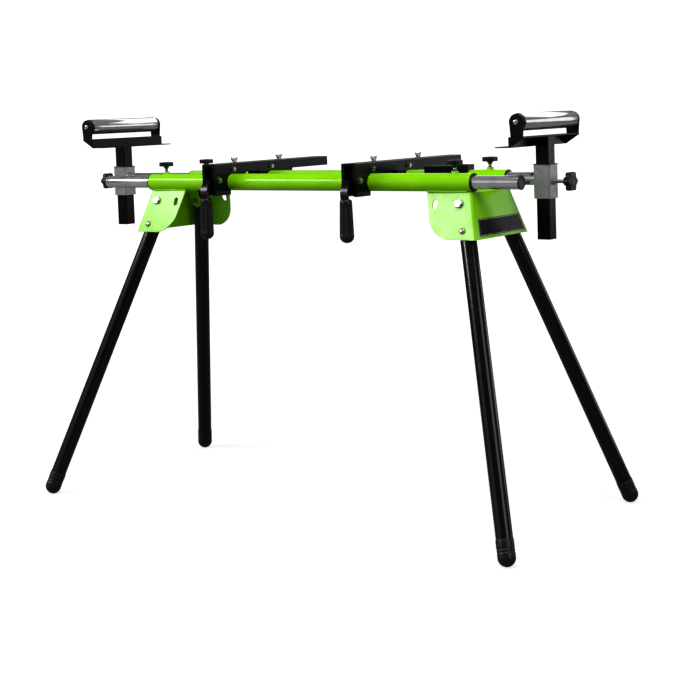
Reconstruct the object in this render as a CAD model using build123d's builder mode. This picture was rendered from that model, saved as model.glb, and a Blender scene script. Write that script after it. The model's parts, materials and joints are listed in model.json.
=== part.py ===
from build123d import *
import math
import os

# Folding stand for a mitre saw: two main tubes on two leg housings, four folding legs,
# sliding extension tubes with roller heads, and two clamped tool arms. Millimetres.
# The design frame has X along the main tubes, Y across them (front is -Y) and Z up.
# Every part moves by SHIFT on export, so the origin is below the middle of the whole stand.
SHIFT_X = 51.0
SHIFT_Y = -1.5

# Main tubes
AXIS_Z = 720.0
TUBE_R = 19.0
TUBE_WALL = 1.5
TUBE_LENGTH = 872.0
TUBE_Y = 72.0
KNOB_X = 393.0
BOSS_R = 7.5
BOSS_TOP = 24.0
THREAD_R = 4.05

# Extension tubes and the bushes they slide in
EXT_R = 14.0
EXT_WALL = 1.5
EXT_LENGTH = 400.0
RUNNING_GAP = 0.05
BUSH_FLANGE = 2.5
FRONT_RIGHT_END = 545.0
FRONT_LEFT_END = 578.0

# Sleeves, posts and roller heads
SLEEVE_SIZE = 38.0
SLEEVE_WALL = 2.0
SLEEVE_HEIGHT = 70.0
SLEEVE_DROP = 6.0
POST_SIZE = 30.0
POST_WALL = 2.0
POST_LENGTH = 214.0
RIGHT_HEAD_X = 525.0
LEFT_HEAD_X = 662.0
RIGHT_BASE_Z = 68.0
LEFT_BASE_Z = 80.0
BASE_HEIGHT = 22.0
BASE_FLANGE = 33.0
HEAD_HALF = 124.0
ROLLER_R = 18.25
ROLLER_RISE = 52.0
ROLLER_OFFSET = 2.0
SHEET = 2.5

# Legs and leg housings
LEG_R = 17.0
LEG_WALL = 1.5
FOOT_R = 18.0
PIVOT_X = 411.0
PIVOT_Y = 68.2
PIVOT_DROP = 49.0
FOOT_X = 607.0
FOOT_Y = 274.0
FOLD_SKEW = 2.6
CHEEK_OUT = 20.0
TAB_IN = 20.5
BOLT_R = 5.0
BUTTON_RADIUS = 58.6
BUTTON_R = 6.6
PLATE_TOP = 18.6
HOUSING_BOTTOM = 115.0
WALL_TOP_X = 436.0
WALL_BOTTOM_X = 461.0
HOUSING_IN_X = 326.0

# Block on the rear tube
BLOCK_XS = (236.0, 310.0, 346.0)
BLOCK_WIDTH = 32.0
BLOCK_TOP = 28.0
BLOCK_STEP = 2.5

# Tool arms
ARM_RIGHT_X = 170.0
ARM_LEFT_X = -212.5
ARM_HALF = 18.25
ARM_FRONT = -135.0
ARM_REAR = 295.0
ARM_TOP = 43.0
SEAT_R = 19.3
PIN_Y = -120.6
PIN_Z = 6.6
GRIP_Y = -147.0
SLOT_HALF = 3.3
SLOT_LENGTH = 100.0
SLOT_YS = (0.0, 150.0)


def save(part, name):
    """Labels a finished part and writes it to parts/ in the row frame."""
    placed = part.moved(Location((SHIFT_X, SHIFT_Y, 0)))
    placed.label = name
    export_step(placed, "parts/" + name + ".step")


def leg_frame(side, row):
    """The leg's pivot, rest direction, cheek plane, v sign and foot point for one corner.

    The cheek plane has x inward along the folded leg and z out through the cheek.
    The folded direction is skewed a little, so left and right legs fold side by side.
    """
    pivot = Vector(side * PIVOT_X, row * PIVOT_Y, AXIS_Z - PIVOT_DROP)
    foot = Vector(side * FOOT_X, row * FOOT_Y, FOOT_R)
    skew = math.radians(FOLD_SKEW)
    inward = Vector(-side * math.cos(skew), side * math.sin(skew), 0)
    rest = (foot - pivot).normalized()
    normal = rest.cross(inward).normalized()
    if normal.Y * row < 0:
        normal = normal * -1
    plane = Plane(origin=pivot, x_dir=inward, z_dir=normal)
    down = (rest - inward * rest.dot(inward)).normalized()
    sign = 1 if plane.y_dir.dot(down) > 0 else -1
    return pivot, foot, rest, plane, sign


def button_spot(side, row):
    """The lock button's place in the cheek plane, on the resting leg's centre line."""
    pivot, foot, rest, plane, sign = leg_frame(side, row)
    return (BUTTON_RADIUS * rest.dot(plane.x_dir), BUTTON_RADIUS * rest.dot(plane.y_dir))


def make_main_tube(row):
    """A main tube with two welded nuts for its lock knobs."""
    y = row * TUBE_Y
    with BuildPart() as tube:
        with BuildSketch(Plane.YZ.offset(-TUBE_LENGTH / 2)):
            with Locations((y, AXIS_Z)):
                Circle(TUBE_R)
        extrude(amount=TUBE_LENGTH)
        with BuildSketch(Plane.XY.offset(AXIS_Z)):
            with Locations((KNOB_X, y), (-KNOB_X, y)):
                Circle(BOSS_R)
        extrude(amount=BOSS_TOP)
        with BuildSketch(Plane.YZ.offset(-TUBE_LENGTH / 2)):
            with Locations((y, AXIS_Z)):
                Circle(TUBE_R - TUBE_WALL)
        extrude(amount=TUBE_LENGTH, mode=Mode.SUBTRACT)
        with BuildSketch(Plane.XY.offset(AXIS_Z + 5)):
            with Locations((KNOB_X, y), (-KNOB_X, y)):
                Circle(THREAD_R)
        extrude(amount=BOSS_TOP, mode=Mode.SUBTRACT)
    return tube.part


def make_bushes():
    """The four plastic bushes that line the tube ends."""
    barrel = 25.0
    end = TUBE_LENGTH / 2
    with BuildPart() as bushes:
        for side in (1, -1):
            for row in (1, -1):
                start = Plane(
                    origin=(side * (end - barrel), row * TUBE_Y, AXIS_Z), z_dir=(side, 0, 0)
                )
                with BuildSketch(start):
                    Circle(TUBE_R - TUBE_WALL - 0.05)
                extrude(amount=barrel)
                with BuildSketch(start.offset(barrel)):
                    Circle(TUBE_R + 0.3)
                extrude(amount=BUSH_FLANGE)
                with BuildSketch(start.offset(-1)):
                    Circle(EXT_R + RUNNING_GAP)
                extrude(amount=barrel + BUSH_FLANGE + 2, mode=Mode.SUBTRACT)
    return bushes.part


def housing_solid(side, inset, x_in, bottom):
    """The housing's outside, or its hollow when inset is the sheet's thickness."""
    top = AXIS_Z - PLATE_TOP - inset
    depth = bottom - PLATE_TOP - inset
    wall = Plane(
        origin=(side * WALL_TOP_X, 0, AXIS_Z - 20),
        z_dir=(side * (HOUSING_BOTTOM - 20), 0, WALL_BOTTOM_X - WALL_TOP_X),
    )
    with BuildPart() as body:
        with BuildSketch(Plane.XY.offset(top - depth)):
            with Locations((side * (x_in + 480) / 2, 0)):
                Rectangle(480 - x_in, 300)
        extrude(amount=depth)
        split(bisect_by=wall.offset(-inset), keep=Keep.BOTTOM)
        for row in (1, -1):
            cheek = leg_frame(side, row)[3]
            split(bisect_by=cheek.offset(CHEEK_OUT - inset), keep=Keep.BOTTOM)
        folds = [e for e in body.edges() if abs(e.center().X) > 350 and e.center().Z > AXIS_Z - 105]
        fillet(folds, 4.5 if inset == 0 else 2.0)
    return body.part


def make_tab(side, row):
    """The inner tab under the top plate that holds the far end of a pivot bolt."""
    pivot, foot, rest, plane, sign = leg_frame(side, row)
    with BuildPart() as tab:
        with BuildSketch(plane.offset(-TAB_IN)):
            Circle(14)
            with Locations((0, -20 * sign)):
                Rectangle(28, 40)
        extrude(amount=3)
        split(bisect_by=Plane.XY.offset(AXIS_Z - PLATE_TOP - 1), keep=Keep.BOTTOM)
    return tab.part


def make_cheek_trim(side, row):
    """The waste around a cheek's outline, which has a big round inner corner."""
    pivot, foot, rest, plane, sign = leg_frame(side, row)
    start = plane.offset(CHEEK_OUT - SHEET - 2)
    with BuildPart() as trim:
        with BuildSketch(start):
            Rectangle(500, 500)
        extrude(amount=SHEET + 4)
        with BuildSketch(start) as web:
            with BuildLine():
                Polyline(
                    (93, -60 * sign), (59.1, 75.5 * sign), (-110, 75.5 * sign), (-110, -60 * sign),
                    close=True,
                )
            make_face()
            low = min(web.vertices(), key=lambda v: abs(v.X - 59.1) + abs(v.Y - 75.5 * sign))
            fillet(low, 62)
        extrude(amount=SHEET + 4, mode=Mode.SUBTRACT)
    return trim.part


def make_housing(side):
    """A pressed leg housing with its cheeks, end wall, inner tabs and weld beads."""
    outer = housing_solid(side, 0.0, HOUSING_IN_X, HOUSING_BOTTOM)
    hollow = housing_solid(side, SHEET, HOUSING_IN_X - 30, HOUSING_BOTTOM + 20)
    with BuildPart() as housing:
        add(outer)
        add(hollow, mode=Mode.SUBTRACT)
        for row in (1, -1):
            pivot, foot, rest, plane, sign = leg_frame(side, row)
            add(make_cheek_trim(side, row), mode=Mode.SUBTRACT)
            add(make_tab(side, row))
            # Weld bead between the top plate and the tube
            with BuildSketch(Plane.YZ.offset(side * 331.0)):
                with Locations((row * 79.5, AXIS_Z - 18.0)):
                    Circle(2.6)
            extrude(amount=side * 94.0)
            # Pivot, lock button and fold-lock openings
            with BuildSketch(plane.offset(-TAB_IN - 2)):
                Circle(BOLT_R + 0.05)
            extrude(amount=50, mode=Mode.SUBTRACT)
            with BuildSketch(plane.offset(CHEEK_OUT - SHEET - 2)):
                with Locations(button_spot(side, row)):
                    Circle(BUTTON_R + 0.08)
                with Locations((59.5, 1.5 * sign)):
                    SlotOverall(19, 12, rotation=90)
            extrude(amount=SHEET + 4, mode=Mode.SUBTRACT)
        for row in (1, -1):
            with BuildSketch(Plane.YZ.offset(side * 300.0)):
                with Locations((row * TUBE_Y, AXIS_Z)):
                    Circle(TUBE_R)
            extrude(amount=side * 200.0, mode=Mode.SUBTRACT)
    return housing.part


def make_pivot_bolts():
    """Four pivot bolts, each with its head outside the cheek and its nut inside the tab."""
    with BuildPart() as bolts:
        for side in (1, -1):
            for row in (1, -1):
                plane = leg_frame(side, row)[3]
                with BuildSketch(plane.offset(CHEEK_OUT)):
                    Circle(9.5)
                extrude(amount=1.5)
                with BuildSketch(plane.offset(CHEEK_OUT + 1.5)):
                    RegularPolygon(8.5, 6, major_radius=False)
                extrude(amount=5.5)
                with BuildSketch(plane.offset(-TAB_IN - 10)):
                    Circle(BOLT_R)
                extrude(amount=CHEEK_OUT + TAB_IN + 12)
                with BuildSketch(plane.offset(-TAB_IN - 8)):
                    RegularPolygon(8.5, 6, major_radius=False)
                extrude(amount=8)
    return bolts.part


def make_leg(side, row):
    """A folding leg tube, rounded at its pivot end."""
    pivot, foot, rest, plane, sign = leg_frame(side, row)
    along = Plane(origin=pivot, z_dir=rest)
    length = (foot - pivot).length - 2
    with BuildPart() as leg:
        with BuildSketch(along.offset(-LEG_R)):
            Circle(LEG_R)
        extrude(amount=LEG_R + 1)
        with BuildSketch(plane.offset(-LEG_R - 1)):
            Circle(LEG_R)
        extrude(amount=2 * LEG_R + 2, mode=Mode.INTERSECT)
        with BuildSketch(along):
            Circle(LEG_R)
        extrude(amount=length)
        with BuildSketch(along.offset(-LEG_R - 1)):
            Circle(LEG_R - LEG_WALL)
        extrude(amount=length + LEG_R + 2, mode=Mode.SUBTRACT)
        with BuildSketch(plane.offset(-LEG_R - 1)):
            Circle(BOLT_R + RUNNING_GAP)
        extrude(amount=2 * LEG_R + 2, mode=Mode.SUBTRACT)
        with BuildSketch(plane):
            with Locations(button_spot(side, row)):
                Circle(BUTTON_R + 0.8)
        extrude(amount=LEG_R + 1, mode=Mode.SUBTRACT)
    return leg.part


def make_foot_cap(side, row):
    """A rubber cap with a round end, pushed over the leg."""
    pivot, foot, rest, plane, sign = leg_frame(side, row)
    section = Plane(origin=foot, x_dir=plane.z_dir, z_dir=rest.cross(plane.z_dir) * -1)
    up = -1 if section.y_dir.dot(rest) > 0 else 1
    with BuildPart() as cap:
        with BuildSketch(section):
            with BuildLine():
                Line((0, 2 * up), (LEG_R, 2 * up))
                Line((LEG_R, 2 * up), (LEG_R, 34 * up))
                Line((LEG_R, 34 * up), (FOOT_R, 34 * up))
                Line((FOOT_R, 34 * up), (FOOT_R, 0))
                ThreePointArc(
                    (FOOT_R, 0), (FOOT_R * math.sin(math.pi / 4), -up * FOOT_R * math.cos(math.pi / 4)),
                    (0, -up * FOOT_R),
                )
                Line((0, -up * FOOT_R), (0, 2 * up))
            make_face()
        revolve(axis=Axis(foot, rest))
    return cap.part


def make_lock_button(side, row):
    """The domed button that frees the leg when it's pressed."""
    plane = leg_frame(side, row)[3]
    spot = button_spot(side, row)
    with BuildPart() as button:
        with BuildSketch(plane.offset(LEG_R + 0.6)):
            with Locations(spot):
                Circle(BUTTON_R)
        extrude(amount=7)
        fillet(button.faces().sort_by(Axis((0, 0, 0), plane.z_dir))[-1].edges(), 2.6)
    return button.part


def make_front_extension(side, end):
    """A front extension tube, pulled out as far as end."""
    start = Plane(origin=(side * end, -TUBE_Y, AXIS_Z), z_dir=(-side, 0, 0))
    with BuildPart() as ext:
        with BuildSketch(start):
            Circle(EXT_R)
            Circle(EXT_R - EXT_WALL, mode=Mode.SUBTRACT)
        extrude(amount=EXT_LENGTH)
    return ext.part


def make_extension_cap(side, end):
    """The black plug in the end of a front extension tube."""
    start = Plane(origin=(side * end, -TUBE_Y, AXIS_Z), z_dir=(side, 0, 0))
    with BuildPart() as cap:
        with BuildSketch(start):
            Circle(EXT_R + 1.2)
        extrude(amount=3)
        fillet(cap.faces().sort_by(Axis.X)[-1 if side > 0 else 0].edges(), 1.2)
        with BuildSketch(start.offset(-14)):
            Circle(EXT_R - EXT_WALL - 0.05)
            Circle(EXT_R - EXT_WALL - 2, mode=Mode.SUBTRACT)
        extrude(amount=14)
    return cap.part


def make_rear_extension(side, head_x):
    """A rear extension tube that carries the sleeve of a roller head."""
    start = Plane(origin=(side * (head_x - SLEEVE_SIZE / 2), TUBE_Y, AXIS_Z), z_dir=(-side, 0, 0))
    with BuildPart() as ext:
        with BuildSketch(start):
            Circle(EXT_R)
            Circle(EXT_R - EXT_WALL, mode=Mode.SUBTRACT)
        extrude(amount=EXT_LENGTH)
    return ext.part


def make_sleeve(side, head_x):
    """The square sleeve that the post slides in, with a welded nut for its knob."""
    center = side * head_x
    middle = AXIS_Z - SLEEVE_DROP
    face = Plane(origin=(center + side * (SLEEVE_SIZE / 2 - 0.5), TUBE_Y, middle), z_dir=(side, 0, 0))
    with BuildPart() as sleeve:
        with BuildSketch(Plane.XY.offset(middle - SLEEVE_HEIGHT / 2)):
            with Locations((center, TUBE_Y)):
                RectangleRounded(SLEEVE_SIZE, SLEEVE_SIZE, 3)
        extrude(amount=SLEEVE_HEIGHT)
        with BuildSketch(face):
            Circle(7)
        extrude(amount=6.5)
        with BuildSketch(Plane.XY.offset(middle - SLEEVE_HEIGHT / 2)):
            with Locations((center, TUBE_Y)):
                RectangleRounded(SLEEVE_SIZE - 2 * SLEEVE_WALL, SLEEVE_SIZE - 2 * SLEEVE_WALL, 1)
        extrude(amount=SLEEVE_HEIGHT, mode=Mode.SUBTRACT)
        with BuildSketch(face.offset(-5)):
            Circle(THREAD_R)
        extrude(amount=14, mode=Mode.SUBTRACT)
    return sleeve.part


def make_liner(side, head_x):
    """The plastic liner inside a sleeve, with a thin lip on top."""
    center = side * head_x
    inner = SLEEVE_SIZE - 2 * SLEEVE_WALL - 0.1
    middle = AXIS_Z - SLEEVE_DROP
    with BuildPart() as liner:
        with BuildSketch(Plane.XY.offset(middle - SLEEVE_HEIGHT / 2)):
            with Locations((center, TUBE_Y)):
                RectangleRounded(inner, inner, 0.95)
        extrude(amount=SLEEVE_HEIGHT)
        with BuildSketch(Plane.XY.offset(middle + SLEEVE_HEIGHT / 2)):
            with Locations((center, TUBE_Y)):
                RectangleRounded(SLEEVE_SIZE + 2, SLEEVE_SIZE + 2, 3)
        extrude(amount=1.8)
        with BuildSketch(Plane.XY.offset(middle - SLEEVE_HEIGHT / 2)):
            with Locations((center, TUBE_Y)):
                Rectangle(POST_SIZE + 0.16, POST_SIZE + 0.16)
        extrude(amount=SLEEVE_HEIGHT + 5, mode=Mode.SUBTRACT)
        with BuildSketch(Plane(origin=(center, TUBE_Y, middle), z_dir=(side, 0, 0))):
            Circle(THREAD_R + 0.5)
        extrude(amount=30, mode=Mode.SUBTRACT)
    return liner.part


def make_post(side, head_x, base_z):
    """The square post that lifts a roller head."""
    top = AXIS_Z + base_z + BASE_HEIGHT - SHEET
    with BuildPart() as post:
        with BuildSketch(Plane.XY.offset(top - POST_LENGTH)):
            with Locations((side * head_x, TUBE_Y)):
                RectangleRounded(POST_SIZE, POST_SIZE, 2)
                Rectangle(POST_SIZE - 2 * POST_WALL, POST_SIZE - 2 * POST_WALL, mode=Mode.SUBTRACT)
        extrude(amount=POST_LENGTH)
    return post.part


def make_head_base(side, head_x, base_z):
    """The folded sheet base of a roller head with its two ears."""
    low = AXIS_Z + base_z
    axis_z = low + ROLLER_RISE
    center = side * head_x
    half = POST_SIZE / 2
    roller_x = center + side * ROLLER_OFFSET

    def at(x):
        return center + side * x

    with BuildPart() as base:
        with BuildSketch(Plane.XZ.offset(-(TUBE_Y + HEAD_HALF - 3))):
            with BuildLine():
                Polyline(
                    (at(half + SHEET), low + BASE_HEIGHT), (at(half + SHEET), low + BASE_HEIGHT - SHEET),
                    (at(-half), low + BASE_HEIGHT - SHEET), (at(-half), low),
                    (at(-half - SHEET - BASE_FLANGE), low),
                    (at(-half - SHEET - BASE_FLANGE), low + SHEET), (at(-half - SHEET), low + SHEET),
                    (at(-half - SHEET), low + BASE_HEIGHT), close=True,
                )
            make_face()
        extrude(amount=2 * (HEAD_HALF - 3))
        for start in (HEAD_HALF, -HEAD_HALF + 3):
            with BuildSketch(Plane.XZ.offset(-(TUBE_Y + start))):
                with BuildLine():
                    Polyline(
                        (at(-half - SHEET), low), (at(-half - SHEET + 3), low),
                        (at(half + SHEET), low + BASE_HEIGHT - SHEET),
                        (at(half + SHEET), low + BASE_HEIGHT), (at(-half - SHEET), low + BASE_HEIGHT),
                        close=True,
                    )
                make_face()
                with BuildLine():
                    Polyline(
                        (roller_x - 14, low + BASE_HEIGHT - SHEET), (roller_x + 14, low + BASE_HEIGHT - SHEET),
                        (roller_x + 16.5, axis_z), (roller_x - 16.5, axis_z), close=True,
                    )
                make_face()
                with Locations((roller_x, axis_z)):
                    Circle(17)
                    Circle(4.02, mode=Mode.SUBTRACT)
            extrude(amount=3)
    return base.part


def make_axle(side, head_x, base_z):
    """The roller's axle with a round head outside each ear."""
    spot = (side * (head_x + ROLLER_OFFSET), AXIS_Z + base_z + ROLLER_RISE)
    with BuildPart() as axle:
        with BuildSketch(Plane.XZ.offset(-(TUBE_Y + HEAD_HALF))):
            with Locations(spot):
                Circle(4)
        extrude(amount=2 * HEAD_HALF)
        for start in (HEAD_HALF + 5, -HEAD_HALF):
            with BuildSketch(Plane.XZ.offset(-(TUBE_Y + start))):
                with Locations(spot):
                    Circle(6)
            extrude(amount=5)
        ends = axle.faces().sort_by(Axis.Y)
        fillet([ends[0].edges()[0], ends[-1].edges()[0]], 2)
    return axle.part


def make_roller_tube(side, head_x, base_z):
    """The chromed roller tube."""
    spot = (side * (head_x + ROLLER_OFFSET), AXIS_Z + base_z + ROLLER_RISE)
    with BuildPart() as roller:
        with BuildSketch(Plane.XZ.offset(-(TUBE_Y + HEAD_HALF - 10))):
            with Locations(spot):
                Circle(ROLLER_R)
                Circle(ROLLER_R - 1.5, mode=Mode.SUBTRACT)
        extrude(amount=2 * (HEAD_HALF - 10))
    return roller.part


def make_roller_ends(side, head_x, base_z):
    """The two plastic bearings pressed into the roller's ends."""
    spot = (side * (head_x + ROLLER_OFFSET), AXIS_Z + base_z + ROLLER_RISE)
    with BuildPart() as ends:
        for row in (1, -1):
            face = Plane(origin=(spot[0], TUBE_Y + row * (HEAD_HALF - 10), spot[1]), z_dir=(0, row, 0))
            with BuildSketch(face):
                Circle(ROLLER_R - 0.15)
            extrude(amount=6)
            with BuildSketch(face.offset(-12)):
                Circle(ROLLER_R - 1.55)
            extrude(amount=12)
            with BuildSketch(face.offset(-13)):
                Circle(4 + RUNNING_GAP)
            extrude(amount=20, mode=Mode.SUBTRACT)
    return ends.part


def make_tube_knob(side, row):
    """A lobed knob that clamps an extension tube through the welded nut."""
    spot = (side * KNOB_X, row * TUBE_Y)
    with BuildPart() as knob:
        with BuildSketch(Plane.XY.offset(AXIS_Z + 36.5)):
            with Locations(spot):
                Circle(16.5)
        extrude(amount=10)
        with BuildSketch(Plane.XY.offset(AXIS_Z + 36)):
            with Locations(spot):
                with PolarLocations(19.5, 6):
                    Circle(5.2)
        extrude(amount=11, mode=Mode.SUBTRACT)
        fillet(knob.faces().sort_by(Axis.Z)[-1].edges(), 1.5)
        with BuildSketch(Plane.XY.offset(AXIS_Z + 31.5)):
            with Locations(spot):
                Circle(7.5)
        extrude(amount=5)
        with BuildSketch(Plane.XY.offset(AXIS_Z + EXT_R + 0.4)):
            with Locations(spot):
                Circle(THREAD_R - RUNNING_GAP)
        extrude(amount=20)
    return knob.part


def make_sleeve_knob(side, head_x):
    """The star knob that clamps a post in its sleeve."""
    post_face = Plane(
        origin=(side * (head_x + POST_SIZE / 2 + 0.4), TUBE_Y, AXIS_Z - SLEEVE_DROP),
        z_dir=(side, 0, 0),
    )
    with BuildPart() as knob:
        with BuildSketch(post_face.offset(35.6)):
            Circle(21)
        extrude(amount=14)
        with BuildSketch(post_face.offset(35)):
            with PolarLocations(23.5, 6, start_angle=30):
                Circle(7)
        extrude(amount=16, mode=Mode.SUBTRACT)
        fillet(knob.faces().sort_by(Axis((0, 0, 0), (side, 0, 0)))[-1].edges(), 2)
        with BuildSketch(post_face.offset(27.6)):
            Circle(9)
        extrude(amount=8)
        with BuildSketch(post_face):
            Circle(THREAD_R - RUNNING_GAP)
        extrude(amount=30)
    return knob.part


def make_arm(center):
    """A tool arm: a folded channel that seats on both tubes, with slots for saw bolts."""
    side_plane = Plane.YZ.offset(center - ARM_HALF)
    with BuildPart() as arm:
        with BuildSketch(side_plane) as outline:
            with BuildLine():
                Polyline(
                    (ARM_FRONT, AXIS_Z + ARM_TOP), (ARM_REAR, AXIS_Z + ARM_TOP), (ARM_REAR, AXIS_Z + 21),
                    (154, AXIS_Z + 21), (150, AXIS_Z + 13), (30, AXIS_Z + 13), (26, AXIS_Z + 21),
                    (-22, AXIS_Z + 21), (-26, AXIS_Z + 13), (-48, AXIS_Z + 13), (-50, AXIS_Z + 8),
                    (-80, AXIS_Z + 8), (-80, AXIS_Z - 28), (ARM_FRONT, AXIS_Z - 28), close=True,
                )
            make_face()
            low = min(outline.vertices(), key=lambda v: abs(v.Y + 80) + abs(v.Z - AXIS_Z + 28))
            fillet(low, 4)
        extrude(amount=2 * ARM_HALF)
        long_edges = [
            e for e in arm.edges()
            if abs(e.center().Z - AXIS_Z - ARM_TOP) < 0.1 and abs(e.center().X - center) > 10
        ]
        fillet(long_edges, 3)
        with BuildSketch(Plane.XY.offset(AXIS_Z - 40)):
            with Locations((center, (ARM_FRONT + ARM_REAR) / 2 + 5)):
                Rectangle(2 * (ARM_HALF - SHEET), ARM_REAR - ARM_FRONT - 2 * SHEET + 10)
        extrude(amount=40 + ARM_TOP - SHEET, mode=Mode.SUBTRACT)
        # Saddle blocks over the two tubes
        for row in (1, -1):
            with BuildSketch(Plane.XY.offset(AXIS_Z)):
                with Locations((center, row * TUBE_Y)):
                    Rectangle(2 * ARM_HALF - 2, 30)
            extrude(amount=35.5)
        with BuildSketch(side_plane.offset(-1)):
            with Locations((TUBE_Y, AXIS_Z), (-TUBE_Y, AXIS_Z)):
                Circle(SEAT_R)
            with Locations((70, AXIS_Z + 29.5), (-70, AXIS_Z + 29.5)):
                Circle(3.05)
            with Locations((PIN_Y, AXIS_Z + PIN_Z)):
                Circle(4.03)
        extrude(amount=2 * ARM_HALF + 2, mode=Mode.SUBTRACT)
        # Slots for the saw bolts, and the lever's slot in the front plate
        with BuildSketch(Plane.XY.offset(AXIS_Z + 30)):
            for y in SLOT_YS:
                with Locations((center, y)):
                    SlotOverall(SLOT_LENGTH, 2 * SLOT_HALF, rotation=90)
        extrude(amount=20, mode=Mode.SUBTRACT)
        with BuildSketch(Plane.XZ.offset(-ARM_FRONT - SHEET - 1)):
            with Locations((center, AXIS_Z + 3)):
                Rectangle(21, 68)
        extrude(amount=5, mode=Mode.SUBTRACT)
    return arm.part


def make_arm_bolts(center):
    """Two cross bolts over the tubes and the lever's pin, each with head and nut."""
    side_plane = Plane.YZ.offset(center)
    with BuildPart() as bolts:
        spots = (
            ((70, AXIS_Z + 29.5), 3.0, 5.0), ((-70, AXIS_Z + 29.5), 3.0, 5.0),
            ((PIN_Y, AXIS_Z + PIN_Z), 4.0, 6.5),
        )
        for spot, shank, hexagon in spots:
            with BuildSketch(side_plane.offset(-ARM_HALF - 1)):
                with Locations(spot):
                    Circle(shank)
            extrude(amount=2 * ARM_HALF + 8)
            for start in (ARM_HALF, -ARM_HALF - 5):
                with BuildSketch(side_plane.offset(start)):
                    with Locations(spot):
                        RegularPolygon(hexagon, 6, major_radius=False)
                extrude(amount=5)
    return bolts.part


def make_lever(center):
    """The clamp lever: an eccentric cam on the pin and a strap out through the front."""
    cam = math.radians(50)
    with BuildPart() as lever:
        with BuildSketch(Plane.YZ.offset(center - 9)):
            with BuildLine():
                Polyline(
                    (PIN_Y, AXIS_Z + PIN_Z + 7), (-134, AXIS_Z + 10.5), (-142, AXIS_Z + 6),
                    (-149, AXIS_Z - 2), (-153.5, AXIS_Z - 13), (-154.8, AXIS_Z - 24),
                    (-153.2, AXIS_Z - 36), (-151, AXIS_Z - 47), (-150, AXIS_Z - 60), (-150, AXIS_Z - 108),
                    (-144, AXIS_Z - 108), (-144, AXIS_Z - 59), (-145, AXIS_Z - 46), (-147, AXIS_Z - 35),
                    (-148.4, AXIS_Z - 24), (-147, AXIS_Z - 14), (-143, AXIS_Z - 5.5), (-137, AXIS_Z + 0.5),
                    (-131, AXIS_Z + 3), (PIN_Y, AXIS_Z + PIN_Z - 7), close=True,
                )
            make_face()
        extrude(amount=18)
        with BuildSketch(Plane.YZ.offset(center - 12)):
            with Locations((PIN_Y, AXIS_Z + PIN_Z)):
                Circle(7)
            with Locations((PIN_Y + 3 * math.cos(cam), AXIS_Z + PIN_Z - 3 * math.sin(cam))):
                Circle(8)
        extrude(amount=24)
        with BuildSketch(Plane.YZ.offset(center - 13)):
            with Locations((PIN_Y, AXIS_Z + PIN_Z)):
                Circle(4 + RUNNING_GAP)
        extrude(amount=26, mode=Mode.SUBTRACT)
        # Groove between the strap's two turned edges
        with BuildSketch(Plane.YZ.offset(center - 5.5)):
            with BuildLine():
                Polyline(
                    (-140, AXIS_Z + 12), (-139, AXIS_Z + 4.5), (-146, AXIS_Z - 4), (-150, AXIS_Z - 14),
                    (-151.2, AXIS_Z - 24), (-150.2, AXIS_Z - 31), (-160, AXIS_Z - 31), (-160, AXIS_Z + 12),
                    close=True,
                )
            make_face()
        extrude(amount=11, mode=Mode.SUBTRACT)
    return lever.part


def make_grip(center, lever):
    """The ribbed rubber grip moulded round the lever's tang."""
    low = AXIS_Z - 124.0
    with BuildPart() as grip:
        with BuildSketch(Plane.XY.offset(low)):
            with Locations((center, GRIP_Y)):
                Ellipse(16.5, 14.5)
        extrude(amount=92)
        fillet(grip.faces().sort_by(Axis.Z)[0].edges(), 11)
        fillet(grip.faces().sort_by(Axis.Z)[-1].edges(), 4)
        for angle in range(0, 360, 30):
            x = center + 17.1 * math.cos(math.radians(angle))
            y = GRIP_Y + 15.1 * math.sin(math.radians(angle))
            with BuildSketch(Plane.XY.offset(low + 16)):
                with Locations((x, y)):
                    Circle(1.5)
            extrude(amount=66, mode=Mode.SUBTRACT)
        add(lever, mode=Mode.SUBTRACT)
    return grip.part


def make_jaw(center):
    """The clamp jaw that presses under the front tube."""
    with BuildPart() as jaw:
        with BuildSketch(Plane.YZ.offset(center - 15.3)):
            with BuildLine():
                Polyline(
                    (PIN_Y + 10.4, AXIS_Z + 8), (-84, AXIS_Z + 8), (-84, AXIS_Z - 12), (-76, AXIS_Z - 12),
                    (-76, AXIS_Z - 25), (PIN_Y + 10.4, AXIS_Z - 25), close=True,
                )
            make_face()
            with Locations((-TUBE_Y, AXIS_Z)):
                Circle(SEAT_R + 0.1, mode=Mode.SUBTRACT)
        extrude(amount=30.6)
        bottom = [
            e for e in jaw.edges()
            if abs(e.center().Z - AXIS_Z + 25) < 0.1 and abs(e.center().X - center) < 1
        ]
        fillet(bottom, 2)
    return jaw.part


def make_saw_bolt(center, y):
    """A saw-fixing bolt in its slot, with washer and wing nut."""
    with BuildPart() as bolt:
        with BuildSketch(Plane.XY.offset(AXIS_Z + 37)):
            with Locations((center, y)):
                Circle(6.5)
        extrude(amount=3.1)
        with BuildSketch(Plane.XY.offset(AXIS_Z + 40)):
            with Locations((center, y)):
                Circle(3)
        extrude(amount=13.5)
        with BuildSketch(Plane.XY.offset(AXIS_Z + ARM_TOP + 0.35)):
            with Locations((center, y)):
                Circle(7)
        extrude(amount=1.2)
        with BuildSketch(Plane.XY.offset(AXIS_Z + ARM_TOP + 1.5)):
            with Locations((center, y)):
                Circle(4.8)
        extrude(amount=5)
        for wing in (1, -1):
            with BuildSketch(Plane.YZ.offset(center - 1.2)):
                with BuildLine():
                    Polyline(
                        (y + wing * 3.5, AXIS_Z + 45), (y + wing * 6, AXIS_Z + 46),
                        (y + wing * 11.5, AXIS_Z + 54), (y + wing * 8.5, AXIS_Z + 55.5),
                        (y + wing * 3.5, AXIS_Z + 49), close=True,
                    )
                make_face()
            extrude(amount=2.4)
    return bolt.part


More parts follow.
